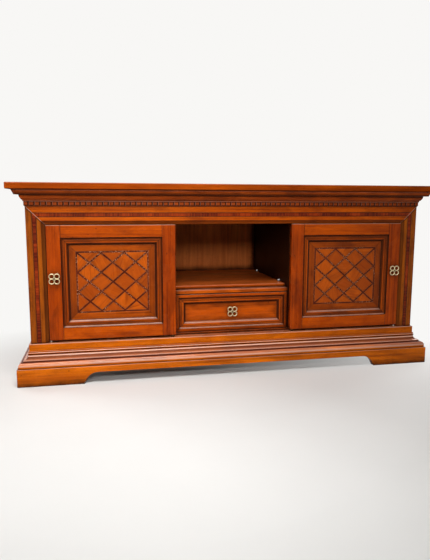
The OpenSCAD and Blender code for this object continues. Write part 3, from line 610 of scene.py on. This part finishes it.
# how dark the painted shade and how bright the painted highlights are, by height on the cornice
# and the base mouldings, and by inset on the rings and the front frame
paintedLightLevels = {
    # cornice: painted shadow under the top board and painted shade under each step;
    # corniceShine: painted highlights on two arrises
    "cornice": [(0.618, 0.6), (0.637, 0.6), (0.6372, 0.0), (0.6392, 0.0), (0.640, 0.75),
                (0.6425, 0.65), (0.644, 0.3), (0.647, 0.22), (0.653, 0.3), (0.6565, 0.45),
                (0.6598, 0.9), (0.6602, 0.85), (0.6650, 0.75), (0.6675, 0.15), (0.670, 0.0),
                (0.674, 0.0), (0.6755, 0.2), (0.6768, 0.9), (0.678, 0.9)],
    "corniceShine": [(0.6364, 0.0), (0.6372, 0.34), (0.6390, 0.34), (0.6397, 0.0),
                     (0.6728, 0.0), (0.6738, 0.22), (0.6750, 0.22), (0.6758, 0.0)],
    # base: painted shade in each crevice of the profile; baseShine: painted highlights on its
    # arrises
    "base": [(0.063, 0.8), (0.0648, 0.1), (0.0700, 0.0), (0.0824, 0.0), (0.0834, 0.95),
             (0.0864, 0.9), (0.0874, 0.1), (0.0899, 0.0), (0.0912, 0.2), (0.0925, 0.7),
             (0.0980, 0.75), (0.0991, 0.0), (0.1042, 0.0), (0.1050, 0.95), (0.1088, 0.9),
             (0.1098, 0.0), (0.1132, 0.0), (0.1140, 0.3), (0.1160, 0.1), (0.1180, 0.0),
             (0.142, 0.0)],
    "baseShine": [(0.0695, 0.0), (0.0712, 0.42), (0.0758, 0.42), (0.0772, 0.1),
                  (0.0830, 0.05), (0.0842, 0.0), (0.0868, 0.0), (0.0876, 0.5),
                  (0.0899, 0.5), (0.0903, 0.0), (0.0985, 0.0), (0.0995, 0.7),
                  (0.1022, 0.7), (0.1032, 0.0), (0.1104, 0.0), (0.1112, 0.6),
                  (0.1124, 0.6), (0.1132, 0.0), (0.1396, 0.0), (0.1408, 0.5),
                  (0.142, 0.5)],
    # mould: painted shade on the moulding's steps; drawerFrame: painted shade along the frame's
    # outer edge
    "mould": [(0.0, 1.0), (0.0032, 0.95), (0.0042, 0.35), (0.0066, 0.45), (0.0074, 0.3),
              (0.0108, 0.25), (0.0115, 0.85), (0.0131, 0.85), (0.0138, 0.0), (0.0186, 0.0),
              (0.0198, 0.8), (0.0248, 1.0), (0.027, 1.0)],
    "drawerFrame": [(0.0, 0.5), (0.0016, 0.1), (0.0040, 0.0), (0.030, 0.0)],
    # frameInset: painted shade round the banding and on the cove
    "frameInset": [(0.0, 0.25), (0.0012, 0.0), (0.019, 0.05), (0.0205, 0.4), (0.0365, 0.4),
                   (0.038, 0.05), (0.048, 0.1), (0.0505, 0.7), (0.062, 0.6)],
}
# the front frame's mitres have opened: a dark gap, and beside it an edge with a painted
# highlight
frameMitre = {
    "gapPlace": -0.0022,
    "gapSpan": (0.0032, 0.0014, 0.0, 0.85),
    "highlightPlace": 0.0016,
    "highlightSpan": (0.0020, 0.0008, 0.0, 0.6),
}
topArrisHighlight = {"start": 0.0030, "full": 0.0012, "level": (0.98, 0.9)}
railEnd = {"start": 0.004, "full": 0.0005, "tone": 0.62}
nearRing = {
    "inset": 0.027,
    "reach": 0.026,
    "tone": 0.5,
    "stretch": (16.0, 16.0, 60.0),
    "wander": (0.35, 0.65, -0.008, 0.012),
}


# painted shade by height, from the levels
def shadedByHeight(levels):
    def darken(tree, place):
        return ramp(tree, split(tree, place)[2], paintedLightLevels[levels])
    return darken


def notLevel(tree, mask):
    # keeps a painted highlight on its arris, off the level face behind it
    return times(tree, mask, mapRange(tree, slopeOf(tree), *topArrisHighlight["level"]))


# painted highlights by height, kept off the level faces
def highlightedByHeight(levels):
    def lighten(tree, place):
        return notLevel(tree, shadedByHeight(levels)(tree, place))
    return lighten


def frameInsets(tree, place):
    # how far a place lies in from the nearer side of the front frame, and from its top
    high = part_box("frame_head")[1]
    x, _, z = split(tree, place)
    return (mathNode(tree, "SUBTRACT", high.x, mathNode(tree, "ABSOLUTE", x)),
            mathNode(tree, "SUBTRACT", high.z, z))


def frameShadeAndGap(tree, place):
    # painted shade by the inset from the frame's outer edge, the same round its mitred corners,
    # and the dark mitre gap
    fromSide, fromTop = frameInsets(tree, place)
    inset = mathNode(tree, "MINIMUM", fromSide, fromTop)
    mitre = mathNode(tree, "SUBTRACT", fromSide, fromTop)
    gap = apart(tree, mitre, frameMitre["gapPlace"])
    return mathNode(tree, "MAXIMUM", ramp(tree, inset, paintedLightLevels["frameInset"]),
                    mapRange(tree, gap, *frameMitre["gapSpan"]))


# a painted highlight on the edge beside each mitre
def frameShine(tree, place):
    mitre = mathNode(tree, "SUBTRACT", *frameInsets(tree, place))
    return mapRange(tree, apart(tree, mitre, frameMitre["highlightPlace"]),
                    *frameMitre["highlightSpan"])


def topHighlight(node, most=0.5):
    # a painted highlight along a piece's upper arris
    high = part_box(node)[1].z

    def lighten(tree, place):
        return notLevel(tree, mapRange(tree, split(tree, place)[2], high - topArrisHighlight["start"],
                                       high - topArrisHighlight["full"], 0.0, most))
    return lighten


def railEnds(node):
    # the glaze that a rail keeps where it butts against its stiles
    low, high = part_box(node.replace("rails", "moulding"))
    middle, half = (low.x + high.x) / 2, (high.x - low.x) / 2

    def darken(tree, place):
        return mapRange(tree, apart(tree, split(tree, place)[0], middle),
                        half - railEnd["start"], half - railEnd["full"], 0.0, railEnd["tone"])
    return darken


def darkerNearRing(ring):
    # the field is darker towards the moulding round it
    def darken(tree, place):
        cloud = noise(tree, stretched(tree, place, nearRing["stretch"]), 1.0, 3.0)
        inset = mathNode(tree, "SUBTRACT", ringAt(tree, place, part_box(ring))["Inset"],
                         mapRange(tree, cloud, *nearRing["wander"]))
        return mapRange(tree, inset, nearRing["inset"], nearRing["inset"] + nearRing["reach"],
                        nearRing["tone"], 0.0)
    return darken


# stain, grain direction and a seed for each board; the grain follows the real board
boards = {
    "top_board": ("top", "x", 1.0),
    "cornice_front": ("cornice", "x", 2.0),
    "cornice_left": ("cornice", "y", 3.0),
    "cornice_right": ("cornice", "y", 4.0),
    "frame_head": ("band", "x", 6.0),
    "frame_stile_left": ("frameStile", "z", 7.0),
    "frame_stile_right": ("frameStile", "z", 8.0),
    "side_left": ("case", "z", 9.0),
    "side_right": ("case", "z", 10.0),
    "partition_left": ("partition", "z", 11.0),
    "partition_right": ("partition", "z", 12.0),
    "bottom_board": ("band", "x", 13.0),
    "ceiling_board": ("inside", "x", 14.0),
    "top_rails": ("hidden", "x", 15.0),
    "back_panel": ("back", "z", 16.0),
    "shelf_rail": ("band", "x", 18.0),
    "bay_cleats": ("inside", "y", 19.0),
    "side_shelf_left": ("inside", "x", 20.0),
    "side_shelf_right": ("inside", "x", 21.0),
    "base_mould_front": ("base", "x", 22.0),
    "base_mould_left": ("base", "y", 23.0),
    "base_mould_right": ("base", "y", 24.0),
    "plinth_front": ("plinth", "x", 25.0),
    "plinth_left": ("plinth", "y", 26.0),
    "plinth_right": ("plinth", "y", 27.0),
    "plinth_back": ("hidden", "x", 28.0),
    "base_rails": ("hidden", "x", 29.0),
    "foot_blocks": ("hidden", "z", 30.0),
    "drawer_runners": ("hidden", "y", 31.0),
    "drawer_stops": ("hidden", "y", 32.0),
    "door_left_stiles": ("stile", "z", 33.0),
    "door_right_stiles": ("stile", "z", 34.0),
    "door_left_rails": ("door", "x", 35.0),
    "door_right_rails": ("door", "x", 36.0),
    "door_left_panel": ("margin", "z", 37.0),
    "door_right_panel": ("margin", "z", 38.0),
    "drawer_panel": ("drawer", "x", 39.0),
    "drawer_box": ("hidden", "y", 40.0),
    "drawer_bottom": ("hidden", "x", 41.0),
}
# pieces and stains that differ from the full polish
# the base mouldings take a darker red painted shade and a whiter painted sheen
mouldedBase = {"wax": 0.8, "reach": 0.006, "glazeShade": 0.55, "specular": 0.09,
               "glazeShadeColour": (66, 12, 8), "sheenColour": (238, 204, 186)}
changed = {
    "shelf_rail": {"paintedSheen": 0.3},
    "top_board": {"paintedSheen": 0.03, "coat": 0.0, "roughness": 0.55, "specular": 0.05},
}
matt = {
    "hidden": {"roughness": 0.6, "coat": 0.0},
    "back": {"roughness": 0.42, "coat": 0.0, "specular": 0.08},
    "inside": {"roughness": 0.4, "coat": 0.0, "specular": 0.1},
    "partition": {"roughness": 0.4, "coat": 0.0, "specular": 0.06},
}
# darkening for each piece: painted shade by height on the cornice and base, painted shade by
# inset on the front frame with its mitre gaps, dark rail ends at the joints, the drawer field
# darker near its moulding; then the painted highlights
extraGlazeAndShade = {"drawer_panel": darkerNearRing("drawer_moulding")}
paintedHighlights = {"top_board": topHighlight("top_board", 0.4), "shelf_rail": topHighlight("shelf_rail", 0.25)}
for side in ("front", "left", "right"):
    extraGlazeAndShade["cornice_" + side] = shadedByHeight("cornice")
    paintedHighlights["cornice_" + side] = highlightedByHeight("corniceShine")
    extraGlazeAndShade["base_mould_" + side] = shadedByHeight("base")
    paintedHighlights["base_mould_" + side] = highlightedByHeight("baseShine")
    changed["base_mould_" + side] = mouldedBase
    paintedHighlights["plinth_" + side] = topHighlight("plinth_" + side, 0.3)
for node in ("frame_head", "frame_stile_left", "frame_stile_right"):
    extraGlazeAndShade[node], paintedHighlights[node] = frameShadeAndGap, frameShine
for side in ("left", "right"):
    rails, stiles = f"door_{side}_rails", f"door_{side}_stiles"
    extraGlazeAndShade[rails] = railEnds(rails)
    paintedHighlights[rails], paintedHighlights[stiles] = topHighlight(rails), topHighlight(stiles)

for node, (stain, direction, seed) in boards.items():
    finish = {**matt.get(stain, {}), **changed.get(node, {})}
    wear(node, boardWood(node + "Wood", stain, direction, seed, extraGlazeAndShade.get(node),
                         paintedHighlights.get(node), **finish))

rings = {
    "door_left_moulding": ("mould", 50.0, "mould"),
    "door_right_moulding": ("mould", 51.0, "mould"),
    "drawer_moulding": ("drawerMould", 52.0, "mould"),
    "drawer_frame": ("door", 53.0, "drawerFrame"),
}
for node, (stain, seed, levels) in rings.items():
    wear(node, ringWood(node + "Wood", stain, seed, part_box(node), paintedLightLevels[levels]))

bayShelf = {
    "seeds": (17.0, 17.6),
    "lipping": 0.014,
    "blend": 0.0005,
    "arrisHighlight": 0.3,
    "finish": {"bump": 0.00002, "roughness": 0.33, "specular": 0.1, "paintedSheen": 0.0,
               "wax": 0.08, "reach": 0.012},
}


def lippedShelf(name, node):
    # the shelf's veneer, with a solid lipping of the show wood along its front
    material, tree = blankMaterial(name)
    place = objectPlace(tree)
    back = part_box(node)[0].y + bayShelf["lipping"]
    veneer = stainOn(tree, "shelf", "x", bayShelf["seeds"][0], place)
    lipping = stainOn(tree, "band", "x", bayShelf["seeds"][1], place)
    onLip = mapRange(tree, split(tree, place)[1], back + bayShelf["blend"], back)
    stained = mixColour(tree, onLip, veneer["Color"], lipping["Color"])
    # a painted highlight runs along the shelf's upper arris
    return lacquered(material, stained, veneer["Height"], None,
                     topHighlight(node, bayShelf["arrisHighlight"])(tree, place), **bayShelf["finish"])


wear("bay_shelf", lippedShelf("bay_shelfWood", "bay_shelf"))
print("boards and mouldings stained")


# dentils

dentils = {
    "pitch": 0.019,
    "block": 0.0154,
    "light": (206, 88, 30),
    "dark": (150, 56, 16),
    "deep": (130, 44, 14),
    "deepest": 0.4,  # the most that a block's own draw adds of the deep colour
    "figure": 0.4,
    "seed": 5.0,
    "edge": 0.0022,
    "glazeShade": 0.85,
    "arrisInset": 0.0006,
    "arrisHighlightSpan": (0.0012, 0.0004, 0.0, 0.55),
    "finish": {"rubHighlight": 0.5, "reach": 0.006},
}


def dentilWood(name):
    # each block is bright in its middle and has painted shade round it
    material, tree = blankMaterial(name)
    place = objectPlace(tree)
    low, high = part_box("dentil_strips")
    x, y, z = split(tree, place)
    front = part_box("frame_head")[0].y
    onFront = mathNode(tree, "LESS_THAN", y, front)
    # a slot lies at each whole pitch from the middle, and half a pitch behind the front
    sideRun = mathNode(tree, "SUBTRACT", y, front + dentils["pitch"] / 2)
    run = mixNumber(tree, onFront, sideRun, x)
    row = placeGroup(tree, rowGroup, Run=run, Pitch=dentils["pitch"])
    grain = placeGroup(tree, grainGroup, Along=joined(tree, run, y, z),
                       Light=paint(*dentils["light"]), Dark=paint(*dentils["dark"]),
                       Pores=poreColour, Figure=dentils["figure"],
                       Seed=dentils["seed"])
    toned = mixColour(tree, times(tree, row["Draw"], dentils["deepest"]),
                      grain["Color"], paint(*dentils["deep"]))
    side, edge = dentils["block"] / 2, dentils["edge"]
    beside = mapRange(tree, mathNode(tree, "ABSOLUTE", row["Aside"]), side - edge, side)
    half = (high.z - low.z) / 2
    above = mapRange(tree, apart(tree, z, (low.z + high.z) / 2), half - 2 * edge,
                     half - edge / 2)
    darker = times(tree, mathNode(tree, "MAXIMUM", beside, above), dentils["glazeShade"])
    # a painted highlight along the arris at one side of each slot
    arris = apart(tree, row["Aside"], dentils["arrisInset"] - side)
    paler = mapRange(tree, arris, *dentils["arrisHighlightSpan"])
    return lacquered(material, toned, grain["Height"], darker, paler,
                     **dentils["finish"])


wear("dentil_strips", dentilWood("dentilWood"))
print("dentils glazed")


# marquetry

marquetry = {
    "diamonds": 3,
    "border": 0.0055,
    "edge": 0.001,  # how far in from the lattice the diamonds begin
    "seeds": 40.0,
    "pale": (200, 92, 14),
    "mid": (170, 70, 10),
    "deep": (146, 58, 10),
    "deepSpan": (0.1, 0.95, 0.0, 0.7),
    "figure": 0.75,
    "turn": 1.9,  # the most that a diamond's veneer is turned, in radians
    "rimSpan": (0.33, 0.5, 0.0, 0.35),
    "margin": (104, 38, 8),
    "marginTone": 0.3,
    "joint": 0.5,
    "reach": 0.018,
}
strips = {
    "speckSize": 300.0,
    "speckSpan": (0.58, 0.68),
    "patchSize": 14.0,
    "patchSpan": (0.42, 0.56),
    "speckTone": 0.65,
    "speckColour": (206, 150, 110),
}


def diamondWood(name, side, seed):
    # each diamond takes its own tone and its own grain direction; the margin is mitred
    material, tree = blankMaterial(name)
    place = objectPlace(tree)
    low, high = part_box(f"door_{side}_lattice")
    border = marquetry["border"]
    fieldLow = (low.x + border, 0, low.z + border)
    field = (high.x - low.x - 2 * border, 1, high.z - low.z - 2 * border)
    # u and v count the lattice's strips in the two slanting directions
    local = vectorNode(tree, "SUBTRACT", place, fieldLow)
    x, _, z = split(tree, vectorNode(tree, "DIVIDE", local, field))
    count = marquetry["diamonds"]
    u = times(tree, mathNode(tree, "SUBTRACT", x, z), count)
    v = times(tree, mathNode(tree, "ADD", x, z), count)
    cell = joined(tree, mathNode(tree, "FLOOR", u), mathNode(tree, "FLOOR", v), seed)
    draw = addNode(tree, "ShaderNodeTexWhiteNoise", noise_dimensions="3D")
    feed(tree, draw.inputs["Vector"], cell)
    picks = colourParts(tree, draw.outputs["Color"])
    # the veneer of each diamond is laid at its own angle
    turn = addNode(tree, "ShaderNodeVectorRotate", rotation_type="Y_AXIS")
    feed(tree, turn.inputs["Vector"], place)
    feed(tree, turn.inputs["Angle"], mapRange(tree, picks[0], 0.0, 1.0, -marquetry["turn"],
                                              marquetry["turn"]))
    grain = placeGroup(tree, grainGroup, Along=turn.outputs[0],
                       Light=paint(*marquetry["pale"]), Dark=paint(*marquetry["mid"]),
                       Pores=poreColour, Figure=marquetry["figure"],
                       Seed=times(tree, picks[1], marquetry["seeds"]))
    deepen = mapRange(tree, picks[2], *marquetry["deepSpan"])
    diamond = mixColour(tree, deepen, grain["Color"], paint(*marquetry["deep"]))
    # a soft darkening of each diamond towards its strips
    edges = [apart(tree, mathNode(tree, "FRACT", way), 0.5) for way in (u, v)]
    rim = mapRange(tree, mathNode(tree, "MAXIMUM", *edges), *marquetry["rimSpan"])
    # outside the lattice lies the plain margin
    ring = ringAt(tree, place, (low, high))
    level = stainOn(tree, "margin", "x", seed + 1, place)
    upright = stainOn(tree, "margin", "z", seed + 2, place)
    darkUpright = mixColour(tree, marquetry["marginTone"], upright["Color"],
                            paint(*marquetry["margin"]))
    margin = mixColour(tree, ring["Upright"], level["Color"], darkUpright)
    inside = mathNode(tree, "GREATER_THAN", ring["Inset"], marquetry["edge"])
    joint = times(tree, ring["Joint"], marquetry["joint"])
    darker = mixNumber(tree, inside, joint, rim)
    stained = mixColour(tree, inside, margin, diamond)
    return lacquered(material, stained, grain["Height"], darker,
                     reach=marquetry["reach"])


def stripWood(name, seed):
    # the dark strips, with small pale specks where the filler shows
    material, tree = blankMaterial(name)
    place = objectPlace(tree)
    grain = stainOn(tree, "string", "x", seed, place)
    speck = mapRange(tree, noise(tree, place, strips["speckSize"], 0.0), *strips["speckSpan"])
    where = mapRange(tree, noise(tree, place, strips["patchSize"], 1.0), *strips["patchSpan"])
    speck = times(tree, times(tree, speck, where), strips["speckTone"])
    stained = mixColour(tree, speck, grain["Color"], paint(*strips["speckColour"]))
    return lacquered(material, stained, grain["Height"])


for side, seed in (("left", 60.0), ("right", 71.0)):
    wear(f"door_{side}_veneers", diamondWood(f"{side}DiamondVeneer", side, seed))
    wear(f"door_{side}_lattice", stripWood(f"{side}StripVeneer", seed + 5))
print("marquetry laid")


# banding of the front frame

banding = {
    "inset": 0.021,
    "width": 0.015,
    "string": 0.0022,
    "segment": 0.0031,
    "red": (88, 20, 8),
    "orange": (162, 55, 13),
    "stringColour": (58, 18, 8),
    "patchSize": 12.0,
    "patchSpan": (0.42, 0.66, -0.15, 0.75),
    "draw": 0.6,
    "cutStart": 0.38,  # in lengths of a segment, from its middle
    "cutTone": 0.7,
    "fibreSize": 600.0,
}


def bandingWood(name):
    # cross-cut segments between two dark strings, running round the frame
    material, tree = blankMaterial(name)
    place = objectPlace(tree)
    x, _, z = split(tree, place)
    fromSide, fromTop = frameInsets(tree, place)
    onSide = mathNode(tree, "LESS_THAN", fromSide, fromTop)
    across = mathNode(tree, "MINIMUM", fromSide, fromTop)
    half, segment = banding["width"] / 2, banding["segment"]
    string = mathNode(tree, "GREATER_THAN", apart(tree, across, banding["inset"] + half),
                      half - banding["string"])
    row = placeGroup(tree, rowGroup, Run=mixNumber(tree, onSide, x, z), Pitch=segment)
    patches = mapRange(tree, noise(tree, place, banding["patchSize"]), *banding["patchSpan"])
    amount = mathNode(tree, "MULTIPLY_ADD", row["Draw"], banding["draw"], patches, clamp=True)
    veneer = mixColour(tree, amount, paint(*banding["red"]), paint(*banding["orange"]))
    cut = mapRange(tree, mathNode(tree, "ABSOLUTE", row["Aside"]),
                   segment * banding["cutStart"], segment * 0.5, 0.0, banding["cutTone"])
    veneer = mixColour(tree, cut, veneer, paint(*banding["stringColour"]))
    stained = mixColour(tree, string, veneer, paint(*banding["stringColour"]))
    # the banding takes the painted highlight beside each mitre
    return lacquered(material, stained, noise(tree, place, banding["fibreSize"], 1.0), None,
                     frameShine(tree, place))


wear("frame_inlay", bandingWood("frameBanding"))
print("banding laid")


# metal and plastic

metals = {
    "brass": {"light": (222, 204, 162), "dark": (62, 44, 24), "roughness": 0.36,
              "tarnish": 0.4},
    "washer": {"light": (120, 100, 70), "dark": (50, 38, 26), "roughness": 0.5,
               "tarnish": 0.6},
    "steel": {"light": (176, 178, 180), "dark": (110, 112, 116), "roughness": 0.34,
              "tarnish": 0.1},
    "nickel": {"light": (244, 244, 242), "dark": (170, 170, 172), "roughness": 0.24,
               "tarnish": 0.1, "metallic": 0.45},
}
metalWear = {
    "reach": 0.005,
    "arris": 0.0006,
    "patchSize": 260.0,
    "patchSpan": (0.35, 0.7),
    "dirtRoughness": 0.25,
    "bumpStrength": 0.3,
    "bump": 0.0002,
}
knobMiddleDarkening = (0.0058, 0.0036, 0.0, 0.8)
rest = {"light": (232, 228, 218), "dark": (204, 198, 186), "speckSize": 300.0,
        "roughness": (0.38, 0.52)}


def knobMiddle(node):
    # darker where the knob's four rings meet
    low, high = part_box(node)

    def darken(tree, place):
        offset = vectorNode(tree, "SUBTRACT", place, tuple((low + high) / 2))
        flat = vectorNode(tree, "MULTIPLY", offset, (1.0, 0.0, 1.0))
        return mapRange(tree, vectorNode(tree, "LENGTH", flat), *knobMiddleDarkening)
    return darken


def agedMetal(name, look, darken=None):
    material, tree = blankMaterial(name)
    shadeAndRub = placeGroup(tree, glazeShadeGroup, Reach=metalWear["reach"], Round=metalWear["arris"])
    patch = mapRange(tree, noise(tree, objectPlace(tree), metalWear["patchSize"], 3.0),
                     *metalWear["patchSpan"])
    dirt = mathNode(tree, "MULTIPLY_ADD", patch, look["tarnish"], shadeAndRub["GlazeShade"],
                    clamp=True)
    if darken:
        dirt = mathNode(tree, "MAXIMUM", dirt, darken(tree, objectPlace(tree)))
    shader = addNode(tree, "ShaderNodeBsdfPrincipled")
    feed(tree, shader.inputs["Base Color"],
         mixColour(tree, dirt, paint(*look["light"]), paint(*look["dark"])))
    shader.inputs["Metallic"].default_value = look.get("metallic", 1.0)
    feed(tree, shader.inputs["Roughness"],
         mathNode(tree, "MULTIPLY_ADD", dirt, metalWear["dirtRoughness"], look["roughness"]))
    relief(tree, shader, patch, shadeAndRub["Normal"], metalWear["bumpStrength"],
           metalWear["bump"])
    toOutput(tree, shader.outputs[0])
    return material


def mouldedWhite(name):
    material, tree = blankMaterial(name)
    speck = noise(tree, objectPlace(tree), rest["speckSize"])
    shader = addNode(tree, "ShaderNodeBsdfPrincipled")
    feed(tree, shader.inputs["Base Color"],
         mixColour(tree, speck, paint(*rest["light"]), paint(*rest["dark"])))
    feed(tree, shader.inputs["Roughness"], mapRange(tree, speck, 0.0, 1.0, *rest["roughness"]))
    toOutput(tree, shader.outputs[0])
    return material


plainSteel = agedMetal("plainSteel", metals["steel"])
for node in ("door_left_knob", "door_right_knob", "drawer_knob"):
    wear(node, agedMetal(node + "Brass", metals["brass"], knobMiddle(node)))
for node in ("door_catches", "door_left_fittings", "door_right_fittings"):
    wear(node, plainSteel)
wear("shelf_pins", agedMetal("brightNickel", metals["nickel"]))
wear("pivot_washers", agedMetal("dullWasher", metals["washer"]))
wear("door_rests", mouldedWhite("whiteRest"))
print("fittings finished")


# floor, lights and camera

floorLook = {
    "reach": 15.0,
    "light": (228, 227, 224),
    "dark": (218, 217, 214),
    "patchSize": 2.2,
    "roughness": 0.8,
    "specular": 0.15,
    "litPlace": (-0.33, -0.9, 0.0),
    "fade": (0.7, 1.6),  # from the lit floor to the plain backdrop
}
sky = {"level": 0.12, "seen": (248, 247, 245)}
lamps = {
    "overhead": {"place": (-0.5, -1.1, 1.75), "size": (1.3, 0.6), "watts": 12.5,
                 "spread": 115, "target": (-0.5, -0.45, 0.0)},
    "key": {"place": (-0.4, -2.35, 1.12), "size": (0.9, 0.3), "watts": 4.3,
            "spread": 75, "target": (-0.3, -0.2, 0.08)},
    # two soft lamps that only reach the ends and the back
    "leftFill": {"place": (-2.4, 1.3, 1.5), "size": (1.2, 0.9), "watts": 14,
                 "spread": 120, "target": (-0.5, 0.2, 0.3)},
    "rightFill": {"place": (2.4, 1.3, 1.5), "size": (1.2, 0.9), "watts": 12,
                  "spread": 120, "target": (0.5, 0.2, 0.3)},
}
camera = {
    "place": (-0.4793, -2.1725, 0.6364),
    "yaw": 0.2065,
    "pitch": 0.1439,
    "roll": 0.0030,
    "lens": 34.56,
    "sensor": 36.0,
}


def seenAs(tree, amount, shader, kind):
    # the camera, gloss and glass see this much of a plain pale light instead
    rays = addNode(tree, "ShaderNodeLightPath").outputs
    straight = mathNode(tree, "MAXIMUM", rays["Is Glossy Ray"], rays["Is Transmission Ray"])
    straight = mathNode(tree, "MAXIMUM", straight, rays["Is Camera Ray"])
    pale = addNode(tree, kind)
    pale.inputs["Color"].default_value = paint(*sky["seen"])
    mixed = addNode(tree, "ShaderNodeMixShader")
    feed(tree, mixed.inputs[0], times(tree, straight, amount))
    feed(tree, mixed.inputs[1], shader)
    feed(tree, mixed.inputs[2], pale.outputs[0])
    return mixed.outputs[0]


def makeFloor():
    reach = floorLook["reach"]
    mesh = bpy.data.meshes.new("paleFloor")
    mesh.from_pydata([(-reach, -reach, 0), (reach, -reach, 0), (reach, reach, 0),
                      (-reach, reach, 0)], [], [(0, 1, 2, 3)])
    floor = newObject("paleFloor", mesh)
    material, tree = blankMaterial("paleFloorPaint")
    place = objectPlace(tree)
    shader = addNode(tree, "ShaderNodeBsdfPrincipled")
    feed(tree, shader.inputs["Base Color"],
         mixColour(tree, noise(tree, place, floorLook["patchSize"], 4.0),
                   paint(*floorLook["light"]), paint(*floorLook["dark"])))
    shader.inputs["Roughness"].default_value = floorLook["roughness"]
    shader.inputs["Specular IOR Level"].default_value = floorLook["specular"]
    far = vectorNode(tree, "LENGTH", vectorNode(tree, "SUBTRACT", place, floorLook["litPlace"]))
    fade = mapRange(tree, far, *floorLook["fade"])
    toOutput(tree, seenAs(tree, fade, shader.outputs[0], "ShaderNodeEmission"))
    mesh.materials.append(material)


def makeWorld():
    # an even soft sky; the camera, gloss and glass see it pale
    world = bpy.data.worlds.new("studioSky")
    bpy.context.scene.world = world
    world.use_nodes = True
    tree = world.node_tree
    tree.nodes.clear()
    soft = addNode(tree, "ShaderNodeBackground")
    soft.inputs["Strength"].default_value = sky["level"]
    toOutput(tree, seenAs(tree, 1.0, soft.outputs[0], "ShaderNodeBackground"),
             "ShaderNodeOutputWorld")


def makeLamp(name, look):
    lamp = bpy.data.lights.new(name + "Lamp", "AREA")
    lamp.shape = "RECTANGLE"
    lamp.size, lamp.size_y = look["size"]
    lamp.energy = look["watts"]
    lamp.spread = math.radians(look["spread"])
    thing = newObject(name + "Lamp", lamp)
    thing.location = look["place"]
    thing.rotation_mode = "QUATERNION"
    aim = Vector(look["target"]) - Vector(look["place"])
    thing.rotation_quaternion = aim.to_track_quat("-Z", "Y")


def makeCamera():
    data = bpy.data.cameras.new("photoCamera")
    data.lens = camera["lens"]
    data.sensor_width = camera["sensor"]
    data.sensor_fit = "AUTO"
    thing = newObject("photoCamera", data)
    yaw, pitch, roll = camera["yaw"], camera["pitch"], camera["roll"]
    right = Vector((math.cos(yaw), -math.sin(yaw), 0))
    ahead = Vector((math.sin(yaw), math.cos(yaw), 0))
    up = Vector((0, 0, 1))
    sight = ahead * math.cos(pitch) - up * math.sin(pitch)
    crown = up * math.cos(pitch) + ahead * math.sin(pitch)
    rightRolled = right * math.cos(roll) + crown * math.sin(roll)
    crownRolled = crown * math.cos(roll) - right * math.sin(roll)
    turned = Matrix((rightRolled, crownRolled, -sight)).transposed()
    thing.matrix_world = Matrix.Translation(camera["place"]) @ turned.to_4x4()
    bpy.context.scene.camera = thing


makeFloor()
makeWorld()
for name, look in lamps.items():
    makeLamp(name, look)
makeCamera()
bpy.context.scene.view_settings.view_transform = "Standard"

print("scene ready")
